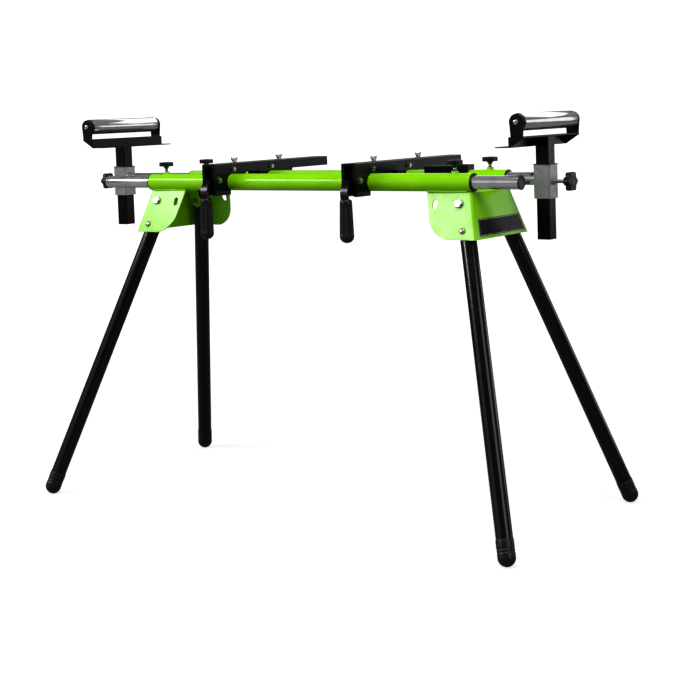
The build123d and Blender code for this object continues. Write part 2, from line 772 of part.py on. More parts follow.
def make_tube_block():
    """The black block that saddles the rear tube, with a raised right end."""
    left, step, right = BLOCK_XS
    with BuildPart() as block:
        with BuildSketch(Plane.XY.offset(AXIS_Z + 8)):
            with Locations(((left + right) / 2, TUBE_Y)):
                RectangleRounded(right - left, BLOCK_WIDTH, 3)
        extrude(amount=BLOCK_TOP - 8)
        with BuildSketch(Plane.XY.offset(AXIS_Z + BLOCK_TOP - 1)):
            with Locations(((step + right) / 2, TUBE_Y)):
                RectangleRounded(right - step, BLOCK_WIDTH, 3)
        extrude(amount=1 + BLOCK_STEP)
        fillet(block.faces().sort_by(Axis.Z)[-1].edges(), 1.2)
        with BuildSketch(Plane.YZ.offset(left - 10)):
            with Locations((TUBE_Y, AXIS_Z)):
                Circle(TUBE_R)
        extrude(amount=right - left + 20, mode=Mode.SUBTRACT)
    return block.part


def make_label_plate():
    """A plain black plate on the right housing's end wall."""
    wall = Plane(
        origin=(WALL_TOP_X, 0, AXIS_Z - 20),
        x_dir=(0, 1, 0),
        z_dir=(HOUSING_BOTTOM - 20, 0, WALL_BOTTOM_X - WALL_TOP_X),
    )
    with BuildPart() as label:
        with BuildSketch(wall):
            with BuildLine():
                Polyline((-82, -56), (86, -56), (95, -91.5), (-90.5, -91.5), close=True)
            make_face()
        extrude(amount=0.8)
    return label.part


os.makedirs("parts", exist_ok=True)
SIDES = (("right", 1), ("left", -1))
ROWS = (("front", -1), ("rear", 1))

for row_name, row in ROWS:
    save(make_main_tube(row), "tube_" + row_name)
save(make_bushes(), "tube_bushes")
save(make_pivot_bolts(), "leg_pivot_bolts")
save(make_label_plate(), "label_plate")
save(make_tube_block(), "tube_block")

for side_name, side in SIDES:
    save(make_housing(side), "housing_" + side_name)
    for row_name, row in ROWS:
        corner = row_name + "_" + side_name
        save(make_leg(side, row), "leg_" + corner)
        save(make_foot_cap(side, row), "foot_cap_" + corner)
        save(make_lock_button(side, row), "lock_button_" + corner)
        save(make_tube_knob(side, row), "tube_knob_" + corner)

for side_name, side, front_end, head_x, base_z in (
    ("right", 1, FRONT_RIGHT_END, RIGHT_HEAD_X, RIGHT_BASE_Z),
    ("left", -1, FRONT_LEFT_END, LEFT_HEAD_X, LEFT_BASE_Z),
):
    save(make_front_extension(side, front_end), "extension_front_" + side_name)
    save(make_extension_cap(side, front_end), "extension_cap_" + side_name)
    save(make_rear_extension(side, head_x), "extension_rear_" + side_name)
    save(make_sleeve(side, head_x), "sleeve_" + side_name)
    save(make_liner(side, head_x), "liner_" + side_name)
    save(make_sleeve_knob(side, head_x), "sleeve_knob_" + side_name)
    save(make_post(side, head_x, base_z), "post_" + side_name)
    save(make_head_base(side, head_x, base_z), "head_base_" + side_name)
    save(make_axle(side, head_x, base_z), "roller_axle_" + side_name)
    save(make_roller_tube(side, head_x, base_z), "roller_tube_" + side_name)
    save(make_roller_ends(side, head_x, base_z), "roller_ends_" + side_name)

for side_name, center, bolt_ys in (
    ("right", ARM_RIGHT_X, (-38.0, 139.0)),
    ("left", ARM_LEFT_X, (-42.0, 125.0)),
):
    lever = make_lever(center)
    save(make_arm(center), "arm_" + side_name)
    save(make_arm_bolts(center), "arm_bolts_" + side_name)
    save(lever, "lever_" + side_name)
    save(make_grip(center, lever), "grip_" + side_name)
    save(make_jaw(center), "jaw_" + side_name)
    save(make_saw_bolt(center, bolt_ys[0]), "saw_bolt_front_" + side_name)
    save(make_saw_bolt(center, bolt_ys[1]), "saw_bolt_rear_" + side_name)
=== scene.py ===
import json
import logging
import math
from dataclasses import dataclass
from enum import Enum
from typing import Iterable, Sequence

import bmesh
import bpy
from mathutils import Matrix, Vector


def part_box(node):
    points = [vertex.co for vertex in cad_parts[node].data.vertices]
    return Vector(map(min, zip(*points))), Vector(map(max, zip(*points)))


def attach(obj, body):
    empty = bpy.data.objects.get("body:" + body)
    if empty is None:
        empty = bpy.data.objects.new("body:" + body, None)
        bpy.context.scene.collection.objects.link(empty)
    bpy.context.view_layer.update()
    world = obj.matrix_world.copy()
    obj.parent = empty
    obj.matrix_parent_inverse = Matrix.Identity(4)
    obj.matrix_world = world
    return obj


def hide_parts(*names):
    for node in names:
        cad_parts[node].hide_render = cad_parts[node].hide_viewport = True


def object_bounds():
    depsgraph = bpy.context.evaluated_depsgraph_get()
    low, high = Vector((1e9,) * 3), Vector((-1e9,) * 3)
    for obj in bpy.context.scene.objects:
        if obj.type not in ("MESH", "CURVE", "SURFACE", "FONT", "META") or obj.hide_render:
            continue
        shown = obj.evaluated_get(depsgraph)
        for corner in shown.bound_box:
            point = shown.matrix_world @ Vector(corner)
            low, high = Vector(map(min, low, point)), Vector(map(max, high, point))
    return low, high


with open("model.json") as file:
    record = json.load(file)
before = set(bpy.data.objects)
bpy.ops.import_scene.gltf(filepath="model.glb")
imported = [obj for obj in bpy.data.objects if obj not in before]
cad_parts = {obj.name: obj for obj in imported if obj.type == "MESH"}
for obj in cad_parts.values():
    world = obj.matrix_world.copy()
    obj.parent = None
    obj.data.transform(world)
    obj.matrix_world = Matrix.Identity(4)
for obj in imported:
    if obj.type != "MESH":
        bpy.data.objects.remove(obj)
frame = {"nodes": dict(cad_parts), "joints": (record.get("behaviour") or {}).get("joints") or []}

LOG = logging.getLogger("saw_stand")
MM = 0.001
JOINTS = {joint["name"]: joint for joint in frame["joints"]}
CAD_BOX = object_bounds()
UP = Vector((0, 0, 1))
WHITE = (1.0, 1.0, 1.0, 1.0)
Tree = bpy.types.NodeTree
Socket = bpy.types.NodeSocket


class Place(Enum):
    """A place on the stand."""

    @property
    def word(self) -> str:
        """The word used in node and body names."""
        return self.name.lower()


class Side(Place):
    """The stand's two ends, seen from the front."""

    RIGHT = 1
    LEFT = -1


class Row(Place):
    """The stand's two long sides."""

    FRONT = -1
    REAR = 1


def linear(hex_colour: str) -> tuple[float, float, float, float]:
    """Turns an sRGB hex colour into linear values.

    Args:
        hex_colour: A colour such as "#8FD400".

    Returns:
        Linear red, green, blue and an alpha of 1.
    """
    values = [int(hex_colour[i:i + 2], 16) / 255 for i in (1, 3, 5)]
    curved = [v / 12.92 if v <= 0.04045 else ((v + 0.055) / 1.055) ** 2.4 for v in values]
    return (curved[0], curved[1], curved[2], 1.0)


def add_node(tree: Tree, kind: str, inputs: dict | None = None, **settings) -> bpy.types.Node:
    """Adds one node with its settings, values and links.

    Args:
        tree: The tree that gets the node.
        kind: The node's type name.
        inputs: Socket name or number to a value, or to the output socket that feeds it.
        **settings: Properties of the node itself.

    Returns:
        The new node.
    """
    node = tree.nodes.new(kind)
    for key, value in settings.items():
        setattr(node, key, value)
    for key, value in (inputs or {}).items():
        if isinstance(value, Socket):
            tree.links.new(value, node.inputs[key])
        else:
            node.inputs[key].default_value = value
    return node


# ---------------------------------------------------------------- finishes


@dataclass
class Surface:
    """A material being dressed: its tree, its Principled BSDF and its Object coordinates."""

    finish: "Finish"
    tree: Tree
    shader: bpy.types.Node
    place: Socket

    def feed(self, value: Socket, name: str) -> None:
        """Links a value to one of the shader's inputs."""
        self.tree.links.new(value, self.shader.inputs[name])

    def cloud(self, size_mm: float, low: float, high: float, detail: float = 2.0,
              place: Socket | None = None) -> Socket:
        """A soft random field between two values.

        Args:
            size_mm: The size of one patch.
            low: The value in the dips.
            high: The value on the crests.
            detail: How much finer structure it has.
            place: The coordinates it lies on, when they aren't the surface's own.

        Returns:
            The field's output socket.
        """
        noise = add_node(self.tree, "ShaderNodeTexNoise", {
            "Vector": self.place if place is None else place, "Scale": 1 / (size_mm * MM),
            "Detail": detail, "Roughness": 0.55})
        return add_node(self.tree, "ShaderNodeMapRange", {
            "Value": noise.outputs["Fac"], "From Min": 0.3, "From Max": 0.7,
            "To Min": low, "To Max": high}).outputs["Result"]

    def gloss(self, size_mm: float, least: float, most: float, detail: float) -> None:
        """Lets the roughness drift between two shares of the finish's own.

        Args:
            size_mm: The size of one patch.
            least: The share where it is glossiest.
            most: The share where it is dullest.
            detail: How much finer structure the drift has.
        """
        rough = self.finish.roughness
        self.feed(self.cloud(size_mm, rough * least, rough * most, detail), "Roughness")

    def relief(self, height: Socket, depth_mm: float) -> None:
        """Turns a field from 0 to 1 into relief of this depth."""
        bump = add_node(self.tree, "ShaderNodeBump", {
            "Height": height, "Distance": depth_mm * MM, "Strength": 1.0})
        self.feed(bump.outputs["Normal"], "Normal")

    def tint(self, share: Socket, other: str) -> None:
        """Mixes a share of another sRGB hex colour into the finish's own."""
        mix = add_node(self.tree, "ShaderNodeMix", {
            "Factor": share, 6: linear(self.finish.colour), 7: linear(other)}, data_type="RGBA")
        self.feed(mix.outputs[2], "Base Color")


@dataclass(frozen=True)
class Finish:
    """A real finish, made as one procedural material on Object coordinates."""

    name: str
    slot: str
    colour: str
    roughness: float
    metallic: float = 0.0
    ior: float = 1.5

    def material(self) -> bpy.types.Material:
        """Makes the material once, and shares it among the pieces with this finish.

        Returns:
            The material.
        """
        if self.name in bpy.data.materials:
            return bpy.data.materials[self.name]
        material = bpy.data.materials.new(self.name)
        material.use_nodes = True
        tree = material.node_tree
        shader = tree.nodes["Principled BSDF"]
        shader.inputs["Base Color"].default_value = linear(self.colour)
        shader.inputs["Roughness"].default_value = self.roughness
        shader.inputs["Metallic"].default_value = self.metallic
        if not self.metallic:
            shader.inputs["IOR"].default_value = self.ior
        material.diffuse_color = linear(self.colour)
        place = add_node(tree, "ShaderNodeTexCoord").outputs["Object"]
        self.dress(Surface(self, tree, shader, place))
        return material

    def dress(self, surface: Surface) -> None:
        """Adds the finish's own pattern; each kind of finish has its own."""
        raise NotImplementedError


@dataclass(frozen=True)
class StovedEnamel(Finish):
    """Glossy stoved enamel on pressed steel: a clear skin with faint orange peel."""

    drift: str = "#7CC400"
    peel_mm: float = 2.2

    def dress(self, surface: Surface) -> None:
        """Adds slow colour drift, wiped gloss and orange peel.

        Args:
            surface: The material being dressed.
        """
        # The spray lies a little thicker here and there, which deepens the colour
        surface.tint(surface.cloud(55, 0.0, 0.55, 3), self.drift)
        # Handling leaves the gloss uneven over a few centimetres
        surface.gloss(28, 0.8, 1.35, 4)
        # Orange peel 2 mm across and a hundredth of a millimetre deep softens reflections
        surface.relief(surface.cloud(self.peel_mm, 0.0, 1.0, 1), 0.012)


@dataclass(frozen=True)
class PowderCoat(Finish):
    """Satin black powder coat: a fine even grain that scatters the highlight."""

    grain_mm: float = 0.9

    def dress(self, surface: Surface) -> None:
        """Adds the grain, drawn near 1 mm where the real one is 0.3, so that it shows.

        Args:
            surface: The material being dressed.
        """
        surface.tint(surface.cloud(18, 0.0, 0.8, 3), "#0D0D0F")
        surface.gloss(12, 0.82, 1.2, 3)
        surface.relief(surface.cloud(self.grain_mm, 0.0, 1.0, 2), 0.035)


@dataclass(frozen=True)
class ChromePlate(Finish):
    """Bright chrome on drawn steel tube: a mirror with faint polishing haze."""

    def dress(self, surface: Surface) -> None:
        """Adds haze from polishing and a very shallow waviness left by drawing the tube.

        Args:
            surface: The material being dressed.
        """
        surface.gloss(16, 0.6, 1.6, 5)
        surface.tint(surface.cloud(40, 0.0, 0.5, 2), "#B4B5B8")
        surface.relief(surface.cloud(9, 0.0, 1.0, 1), 0.006)


@dataclass(frozen=True)
class ZincPlate(Finish):
    """Zinc plate: silver grey crystals a few millimetres across, a little cloudy."""

    crystal_mm: float = 5.0
    dull: str = "#8E908D"

    def dress(self, surface: Surface) -> None:
        """Adds the crystals' drift in tone and the fine rolling lines of the sheet.

        Args:
            surface: The material being dressed.
        """
        cells = add_node(surface.tree, "ShaderNodeTexVoronoi", {
            "Vector": surface.place, "Scale": 1 / (self.crystal_mm * MM), "Randomness": 1.0})
        grey = add_node(surface.tree, "ShaderNodeSeparateColor", {"Color": cells.outputs["Color"]})
        shade = add_node(surface.tree, "ShaderNodeMath", {0: grey.outputs[0], 1: 0.6}, operation="MULTIPLY")
        surface.tint(shade.outputs[0], self.dull)
        surface.gloss(7, 0.75, 1.25, 4)
        # Rolling lines run up the part, 0.7 mm apart
        line = add_node(surface.tree, "ShaderNodeMapping", {
            "Vector": surface.place, "Scale": (1.0, 1.0, 0.04)})
        surface.relief(surface.cloud(0.7, 0.0, 1.0, 2, line.outputs["Vector"]), 0.01)


@dataclass(frozen=True)
class Moulded(Finish):
    """Moulded polymer straight from a spark-eroded tool: dull, with a leathery grain."""

    grain_mm: float = 0.8
    depth_mm: float = 0.04
    bloom: str = "#121214"

    def dress(self, surface: Surface) -> None:
        """Adds the tool's grain and the greyish bloom that handling leaves.

        Args:
            surface: The material being dressed.
        """
        surface.tint(surface.cloud(9, 0.0, 0.7, 3), self.bloom)
        surface.gloss(5, 0.8, 1.15, 3)
        cells = add_node(surface.tree, "ShaderNodeTexVoronoi", {
            "Vector": surface.place, "Scale": 1 / (self.grain_mm * MM), "Randomness": 0.9})
        surface.relief(cells.outputs["Distance"], self.depth_mm)


@dataclass(frozen=True)
class StudioPaper(Finish):
    """Seamless studio paper: matt, and lit from behind away from the stand."""

    near_m: float = 0.8
    far_m: float = 2.8
    glow: float = 0.6
    bounce: str = "#7A7A7A"

    def dress(self, surface: Surface) -> None:
        """Lets the sheet fade into the white surround, and bounce only a little light upwards.

        Args:
            surface: The material being dressed.
        """
        tree = surface.tree
        seen = add_node(tree, "ShaderNodeLightPath").outputs["Is Camera Ray"]
        mix = add_node(tree, "ShaderNodeMix", {
            "Factor": seen, 6: linear(self.bounce), 7: linear(self.colour)}, data_type="RGBA")
        surface.feed(mix.outputs[2], "Base Color")
        far = add_node(tree, "ShaderNodeVectorMath", {0: surface.place}, operation="LENGTH")
        fade = add_node(tree, "ShaderNodeMapRange", {
            "Value": far.outputs["Value"], "From Min": self.near_m, "From Max": self.far_m,
            "To Min": self.glow, "To Max": 1.0}, interpolation_type="SMOOTHSTEP")
        share = add_node(tree, "ShaderNodeMath", {0: fade.outputs["Result"], 1: seen}, operation="MULTIPLY")
        white = add_node(tree, "ShaderNodeEmission", {"Color": WHITE, "Strength": 1.0})
        both = add_node(tree, "ShaderNodeMixShader", {
            0: share.outputs[0], 1: surface.shader.outputs[0], 2: white.outputs[0]})
        tree.links.new(both.outputs[0], tree.nodes["Material Output"].inputs["Surface"])


GREEN = StovedEnamel("lime_stoved_enamel", "green_paint", "#88D800", 0.17, ior=1.34)
LEG_BLACK = StovedEnamel("black_gloss_enamel", "gloss_black_paint", "#040405", 0.13, ior=1.4,
                         drift="#0A0A0C", peel_mm=1.6)
COAT_BLACK = PowderCoat("black_powder_coat_satin", "black_powder_coat", "#030304", 0.24, ior=1.24)
CHROME = ChromePlate("bright_chrome_plate", "chrome_tube", "#DCDDE0", 0.08, metallic=0.86)
SLEEVE_ZINC = ZincPlate("dull_zinc_plate", "zinc_sleeve", "#9A9A9A", 0.34, metallic=0.6,
                        dull="#868887")
BOLT_ZINC = ZincPlate("bright_zinc_plate", "zinc_fasteners", "#B4B4B1", 0.2, metallic=1.0,
                      crystal_mm=2.0, dull="#8B8B88")
LEVER_STEEL = ZincPlate("dark_phosphated_steel", "dark_steel", "#3A3A3E", 0.26, metallic=1.0,
                        crystal_mm=1.6, dull="#1E1E21")
NYLON = Moulded("black_glass_filled_nylon", "black_plastic", "#09090A", 0.36, ior=1.42)
RUBBER = Moulded("black_moulded_rubber", "black_rubber", "#09090A", 0.38, ior=1.42, grain_mm=1.1,
                 depth_mm=0.03)
LABEL = Moulded("satin_black_label_film", "label", "#040405", 0.3, ior=1.22, grain_mm=0.6, depth_mm=0.008,
                bloom="#0C0C0E")
LABEL_LINE = Moulded("pale_grey_label_print", "label", "#C9CBCC", 0.4, grain_mm=0.6,
                     depth_mm=0.006, bloom="#B9BBBC")
PAPER = StudioPaper("studio_paper", "green_paint", "#FAFAFA", 0.9)


# ---------------------------------------------------------------- meshes


def soften(points: Sequence[tuple[float, float]], radius: float,
           steps: int = 3) -> list[tuple[float, float]]:
    """Rounds the inner corners of an open outline.

    Args:
        points: The outline's corners.
        radius: How far from a corner the rounding starts.
        steps: Pieces in each rounding.

    Returns:
        The outline with its corners rounded.
    """
    result = [points[0]]
    for before, corner, after in zip(points, points[1:], points[2:]):
        here = Vector(corner)
        into, out = Vector(before) - here, Vector(after) - here
        if into.length < 1e-9 or out.length < 1e-9:
            continue
        start = here + into.normalized() * min(radius, into.length * 0.48)
        end = here + out.normalized() * min(radius, out.length * 0.48)
        for i in range(steps + 1):
            t = i / steps
            spot = start * (1 - t) ** 2 + here * 2 * t * (1 - t) + end * t ** 2
            result.append((spot.x, spot.y))
    result.append(points[-1])
    return result


def smooth_path(points: Sequence[Sequence[float]], steps: int = 6) -> list[Vector]:
    """A Catmull-Rom line through the points.

    Args:
        points: The points it passes through.
        steps: Pieces between two points.

    Returns:
        The points of the smooth line.
    """
    knots = [Vector(p) for p in points]
    knots = [knots[0] * 2 - knots[1]] + knots + [knots[-1] * 2 - knots[-2]]
    line = []
    for a, b, c, d in zip(knots, knots[1:], knots[2:], knots[3:]):
        for i in range(steps):
            t = i / steps
            line.append(0.5 * (2 * b + (c - a) * t + (2 * a - 5 * b + 4 * c - d) * t * t
                               + (3 * b - 3 * c + d - a) * t ** 3))
    line.append(knots[-2])
    return line


def turned(axis: Sequence[float]) -> Matrix:
    """The rotation that turns +Z to the axis."""
    return Vector(axis).to_track_quat("Z", "Y").to_matrix()


class Form:
    """A piece being made: closed shells in the stand's frame, in metres."""

    def __init__(self) -> None:
        """Starts with no shells."""
        self.mesh = bmesh.new()

    def loft(self, rings: Sequence[Sequence[Vector]], loop: bool = False) -> "Form":
        """Skins a row of rings that all have the same number of points.

        Args:
            rings: The rings, in order.
            loop: Whether the last ring joins the first, instead of both being closed by a face.

        Returns:
            This form, for chaining.
        """
        rows = [[self.mesh.verts.new(p) for p in ring] for ring in rings]
        pairs = list(zip(rows, rows[1:])) + ([(rows[-1], rows[0])] if loop else [])
        for low, high in pairs:
            for i in range(len(low)):
                j = (i + 1) % len(low)
                self.mesh.faces.new((low[i], low[j], high[j], high[i]))
        if not loop:
            self.mesh.faces.new(rows[0][::-1])
            self.mesh.faces.new(rows[-1])
        return self

    def lathe(self, profile: Sequence[tuple[float, float]], origin: Sequence[float], axis: Sequence[float],
              segments: int = 64, loop: bool = False, wobble: float = 0.0) -> "Form":
        """Turns a profile round an axis.

        Args:
            profile: (radius, height) pairs in mm, up the axis.
            origin: Where height 0 lies.
            axis: The axis' direction.
            segments: Faces round the axis.
            loop: Whether the profile closes on itself, which leaves a bore.
            wobble: How uneven the radius is, as a share of it.

        Returns:
            This form, for chaining.
        """
        place = turned(axis)
        spokes = [(math.cos(2 * math.pi * i / segments), math.sin(2 * math.pi * i / segments),
                   1 + wobble * math.sin(i * 1.9)) for i in range(segments)]
        rings = []
        for radius, height in profile:
            spread = max(radius, 0.02) * MM
            rings.append([Vector(origin) + place @ Vector((
                spread * x * uneven, spread * y * uneven, height * MM)) for x, y, uneven in spokes])
        return self.loft(rings, loop)

    def prism(self, outline: Sequence[Vector], depth: Vector) -> "Form":
        """Pushes a flat outline along a vector."""
        return self.loft([list(outline), [p + depth for p in outline]])

    def copy(self, node: str) -> "Form":
        """Takes a merged copy of a CAD node, with its flat faces made whole.

        Args:
            node: The CAD node.

        Returns:
            This form, for chaining.
        """
        taken = bmesh.new()
        taken.from_mesh(frame["nodes"][node].data)
        bmesh.ops.remove_doubles(taken, verts=taken.verts, dist=2e-6)
        bmesh.ops.dissolve_limit(taken, angle_limit=math.radians(0.4), verts=taken.verts, edges=taken.edges)
        data = bpy.data.meshes.new(node + "_copy")
        taken.to_mesh(data)
        taken.free()
        self.mesh.from_mesh(data)
        bpy.data.meshes.remove(data)
        return self

    def add(self, data: bpy.types.Mesh) -> "Form":
        """Takes the shells of a plain mesh, and drops that mesh."""
        self.mesh.from_mesh(data)
        bpy.data.meshes.remove(data)
        return self

    def piece(self, name: str, finish: Finish, body: str, replaced: Iterable[str] = (),
              edge_mm: float = 0.0, smooth: float = 38.0, turn: bool = True) -> bpy.types.Object:
        """Makes the finished object, which rides on its body.

        Args:
            name: The piece's name.
            finish: Its finish.
            body: The CAD body it moves with.
            replaced: CAD nodes that it stands for.
            edge_mm: Width of the rounding on its sharp edges, or 0.
            smooth: Edges sharper than this many degrees stay sharp.
            turn: Whether its faces are turned to point outwards.

        Returns:
            The object.
        """
        if turn:
            bmesh.ops.recalc_face_normals(self.mesh, faces=self.mesh.faces)
        data = bpy.data.meshes.new(name)
        self.mesh.to_mesh(data)
        self.mesh.free()
        data.shade_smooth()
        data.materials.clear()
        data.materials.append(finish.material())
        for face in data.polygons:
            face.material_index = 0
        thing = bpy.data.objects.new(name, data)
        bpy.context.scene.collection.objects.link(thing)
        if edge_mm:
            bevel = thing.modifiers.new("rounded_edges", "BEVEL")
            bevel.width = edge_mm * MM
            bevel.segments = 2
            bevel.limit_method = "ANGLE"
            bevel.angle_limit = math.radians(40)
            bevel.use_clamp_overlap = False
            bevel.miter_outer = "MITER_ARC"
            flat = thing.modifiers.new("flat_faces", "WEIGHTED_NORMAL")
            flat.keep_sharp = True
        else:
            data.set_sharp_from_angle(angle=math.radians(smooth))
        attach(thing, body)
        if replaced:
            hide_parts(*replaced)
        LOG.info("%s: %d faces", name, len(data.polygons))
        return thing


def cast(node: str, name: str, finish: Finish, body: str, edge_mm: float = 0.0,
         smooth: float = 38.0) -> bpy.types.Object:
    """Makes a piece that keeps a CAD node's own shape.

    Args:
        node: The CAD node, which it stands for.
        name: The piece's name.
        finish: Its finish.
        body: The CAD body it moves with.
        edge_mm: Width of the rounding on its sharp edges, or 0.
        smooth: Edges sharper than this many degrees stay sharp.

    Returns:
        The object.
    """
    return Form().copy(node).piece(name, finish, body, [node], edge_mm, smooth, turn=False)


# ---------------------------------------------------------------- repeated shapes


@dataclass
class Stamp:
    """A shape that Geometry Nodes puts on marked points, its Z turned to each point's aim."""

    name: str
    sizes: dict[str, float]

    def shape(self, tree: Tree, size: dict[str, Socket]) -> Socket:
        """Builds the shape itself.

        Args:
            tree: The Geometry Nodes tree.
            size: The named inputs.

        Returns:
            The shape's geometry socket.
        """
        raise NotImplementedError

    def placed(self, tree: Tree, points: Socket, size: dict[str, Socket]) -> Socket:
        """Puts the shape on the points.

        Args:
            tree: The Geometry Nodes tree.
            points: The marked points.
            size: The named inputs.

        Returns:
            The instances' geometry socket.
        """
        aim = add_node(tree, "GeometryNodeInputNamedAttribute", {"Name": "aim"}, data_type="FLOAT_VECTOR")
        turn = add_node(tree, "FunctionNodeAlignRotationToVector", {
            "Vector": aim.outputs["Attribute"]}, axis="Z")
        return add_node(tree, "GeometryNodeInstanceOnPoints", {
            "Points": points, "Instance": self.shape(tree, size),
            "Rotation": turn.outputs["Rotation"]}).outputs["Instances"]

    def tree(self) -> Tree:
        """Makes the tree with its named inputs, once for each kind of shape.

        Returns:
            The Geometry Nodes tree.
        """
        kind = type(self).__name__
        if kind in bpy.data.node_groups:
            return bpy.data.node_groups[kind]
        tree = bpy.data.node_groups.new(kind, "GeometryNodeTree")
        face = tree.interface
        face.new_socket("Geometry", in_out="OUTPUT", socket_type="NodeSocketGeometry")
        face.new_socket("Points", in_out="INPUT", socket_type="NodeSocketGeometry")
        face.new_socket("Finish", in_out="INPUT", socket_type="NodeSocketMaterial")
        for word, value in self.sizes.items():
            item = face.new_socket(word, in_out="INPUT", socket_type="NodeSocketFloat")
            item.default_value = value
        start = add_node(tree, "NodeGroupInput")
        size = {word: start.outputs[word] for word in self.sizes}
        stamped = self.placed(tree, start.outputs["Points"], size)
        real = add_node(tree, "GeometryNodeRealizeInstances", {"Geometry": stamped})
        dressed = add_node(tree, "GeometryNodeSetMaterial", {
            "Geometry": real.outputs["Geometry"], "Material": start.outputs["Finish"]})
        add_node(tree, "NodeGroupOutput", {"Geometry": dressed.outputs["Geometry"]})
        return tree

    def stamped(self, places: Sequence[tuple[Sequence[float], Sequence[float]]], finish: Finish,
                edges: Sequence[tuple[int, int]] = ()) -> bpy.types.Mesh:
        """Runs the tree on a set of places.

        Args:
            places: (point, aim) pairs in the stand's frame.
            finish: The finish that the tree sets.
            edges: Pairs of points that are joined by a line, for shapes that follow one.

        Returns:
            A plain mesh with everything in place.
        """
        marks = bpy.data.meshes.new(self.name + "_marks")
        marks.from_pydata([tuple(point) for point, _ in places], list(edges), [])
        aim = marks.attributes.new("aim", "FLOAT_VECTOR", "POINT")
        for value, (_, direction) in zip(aim.data, places):
            value.vector = Vector(direction).normalized()
        holder = bpy.data.objects.new(self.name + "_marks", marks)
        bpy.context.scene.collection.objects.link(holder)
        modifier = holder.modifiers.new(self.name, "NODES")
        modifier.node_group = self.tree()
        ids = {i.name: i.identifier for i in modifier.node_group.interface.items_tree if i.in_out == "INPUT"}
        modifier[ids["Finish"]] = finish.material()
        for word, value in self.sizes.items():
            modifier[ids[word]] = float(value)
        graph = bpy.context.evaluated_depsgraph_get()
        result = bpy.data.meshes.new_from_object(holder.evaluated_get(graph), depsgraph=graph)
        bpy.data.objects.remove(holder)
        bpy.data.meshes.remove(marks)
        merged = bmesh.new()
        merged.from_mesh(result)
        bmesh.ops.remove_doubles(merged, verts=merged.verts, dist=1e-6)
        bmesh.ops.recalc_face_normals(merged, faces=merged.faces)
        merged.to_mesh(result)
        merged.free()
        return result


def raised(tree: Tree, shape: Socket, height: Socket) -> Socket:
    """Lifts a geometry up its own Z."""
    lift = add_node(tree, "ShaderNodeCombineXYZ", {"Z": height})
    return add_node(tree, "GeometryNodeTransform", {
        "Geometry": shape, "Translation": lift.outputs[0]}).outputs["Geometry"]


class TubeStamp(Stamp):
    """A tube or washer that stands on its point: a rounded wall section swept round a circle."""

    def shape(self, tree: Tree, size: dict[str, Socket]) -> Socket:
        """Sweeps the rounded wall section round the tube's axis.

        Args:
            tree: The Geometry Nodes tree.
            size: The named inputs.

        Returns:
            The shape's geometry socket.
        """
        section = add_node(tree, "GeometryNodeCurvePrimitiveQuadrilateral", {
            "Width": size["Wall"], "Height": size["Length"]})
        rounded = add_node(tree, "GeometryNodeFilletCurve", {
            "Curve": section.outputs["Curve"], "Radius": size["Edge"], "Count": 3}, mode="POLY")
        inner = add_node(tree, "ShaderNodeMath", {0: size["Wall"], 1: 0.5}, operation="MULTIPLY")
        center = add_node(tree, "ShaderNodeMath", {
            0: size["Radius"], 1: inner.outputs[0]}, operation="SUBTRACT")
        circle = add_node(tree, "GeometryNodeCurvePrimitiveCircle", {
            "Resolution": 96, "Radius": center.outputs[0]})
        upright = add_node(tree, "GeometryNodeSetCurveNormal", {
            "Curve": circle.outputs["Curve"]}, mode="Z_UP")
        swept = add_node(tree, "GeometryNodeCurveToMesh", {
            "Curve": upright.outputs["Curve"], "Profile Curve": rounded.outputs["Curve"]})
        half = add_node(tree, "ShaderNodeMath", {0: size["Length"], 1: 0.5}, operation="MULTIPLY")
        return raised(tree, swept.outputs["Mesh"], half.outputs[0])


class HexStamp(Stamp):
    """A hexagon head with a chamfered crown, standing on its point."""

    def shape(self, tree: Tree, size: dict[str, Socket]) -> Socket:
        """Stacks the crown on the hexagon.

        Args:
            tree: The Geometry Nodes tree.
            size: The named inputs.

        Returns:
            The shape's geometry socket.
        """
        radius = add_node(tree, "ShaderNodeMath", {
            0: size["Across Flats"], 1: math.sqrt(3)}, operation="DIVIDE").outputs[0]
        body, crown, narrow = (
            add_node(tree, "ShaderNodeMath", {0: whole, 1: share}, operation="MULTIPLY").outputs[0]
            for whole, share in ((size["Height"], 0.78), (size["Height"], 0.22), (radius, 0.85)))
        half = add_node(tree, "ShaderNodeMath", {0: body, 1: 0.5}, operation="MULTIPLY")
        prism = add_node(tree, "GeometryNodeMeshCylinder", {"Vertices": 6, "Radius": radius, "Depth": body})
        cone = add_node(tree, "GeometryNodeMeshCone", {
            "Vertices": 6, "Radius Top": narrow, "Radius Bottom": radius, "Depth": crown})
        join = add_node(tree, "GeometryNodeJoinGeometry")
        tree.links.new(raised(tree, prism.outputs["Mesh"], half.outputs[0]), join.inputs[0])
        tree.links.new(raised(tree, cone.outputs["Mesh"], body), join.inputs[0])
        return join.outputs[0]


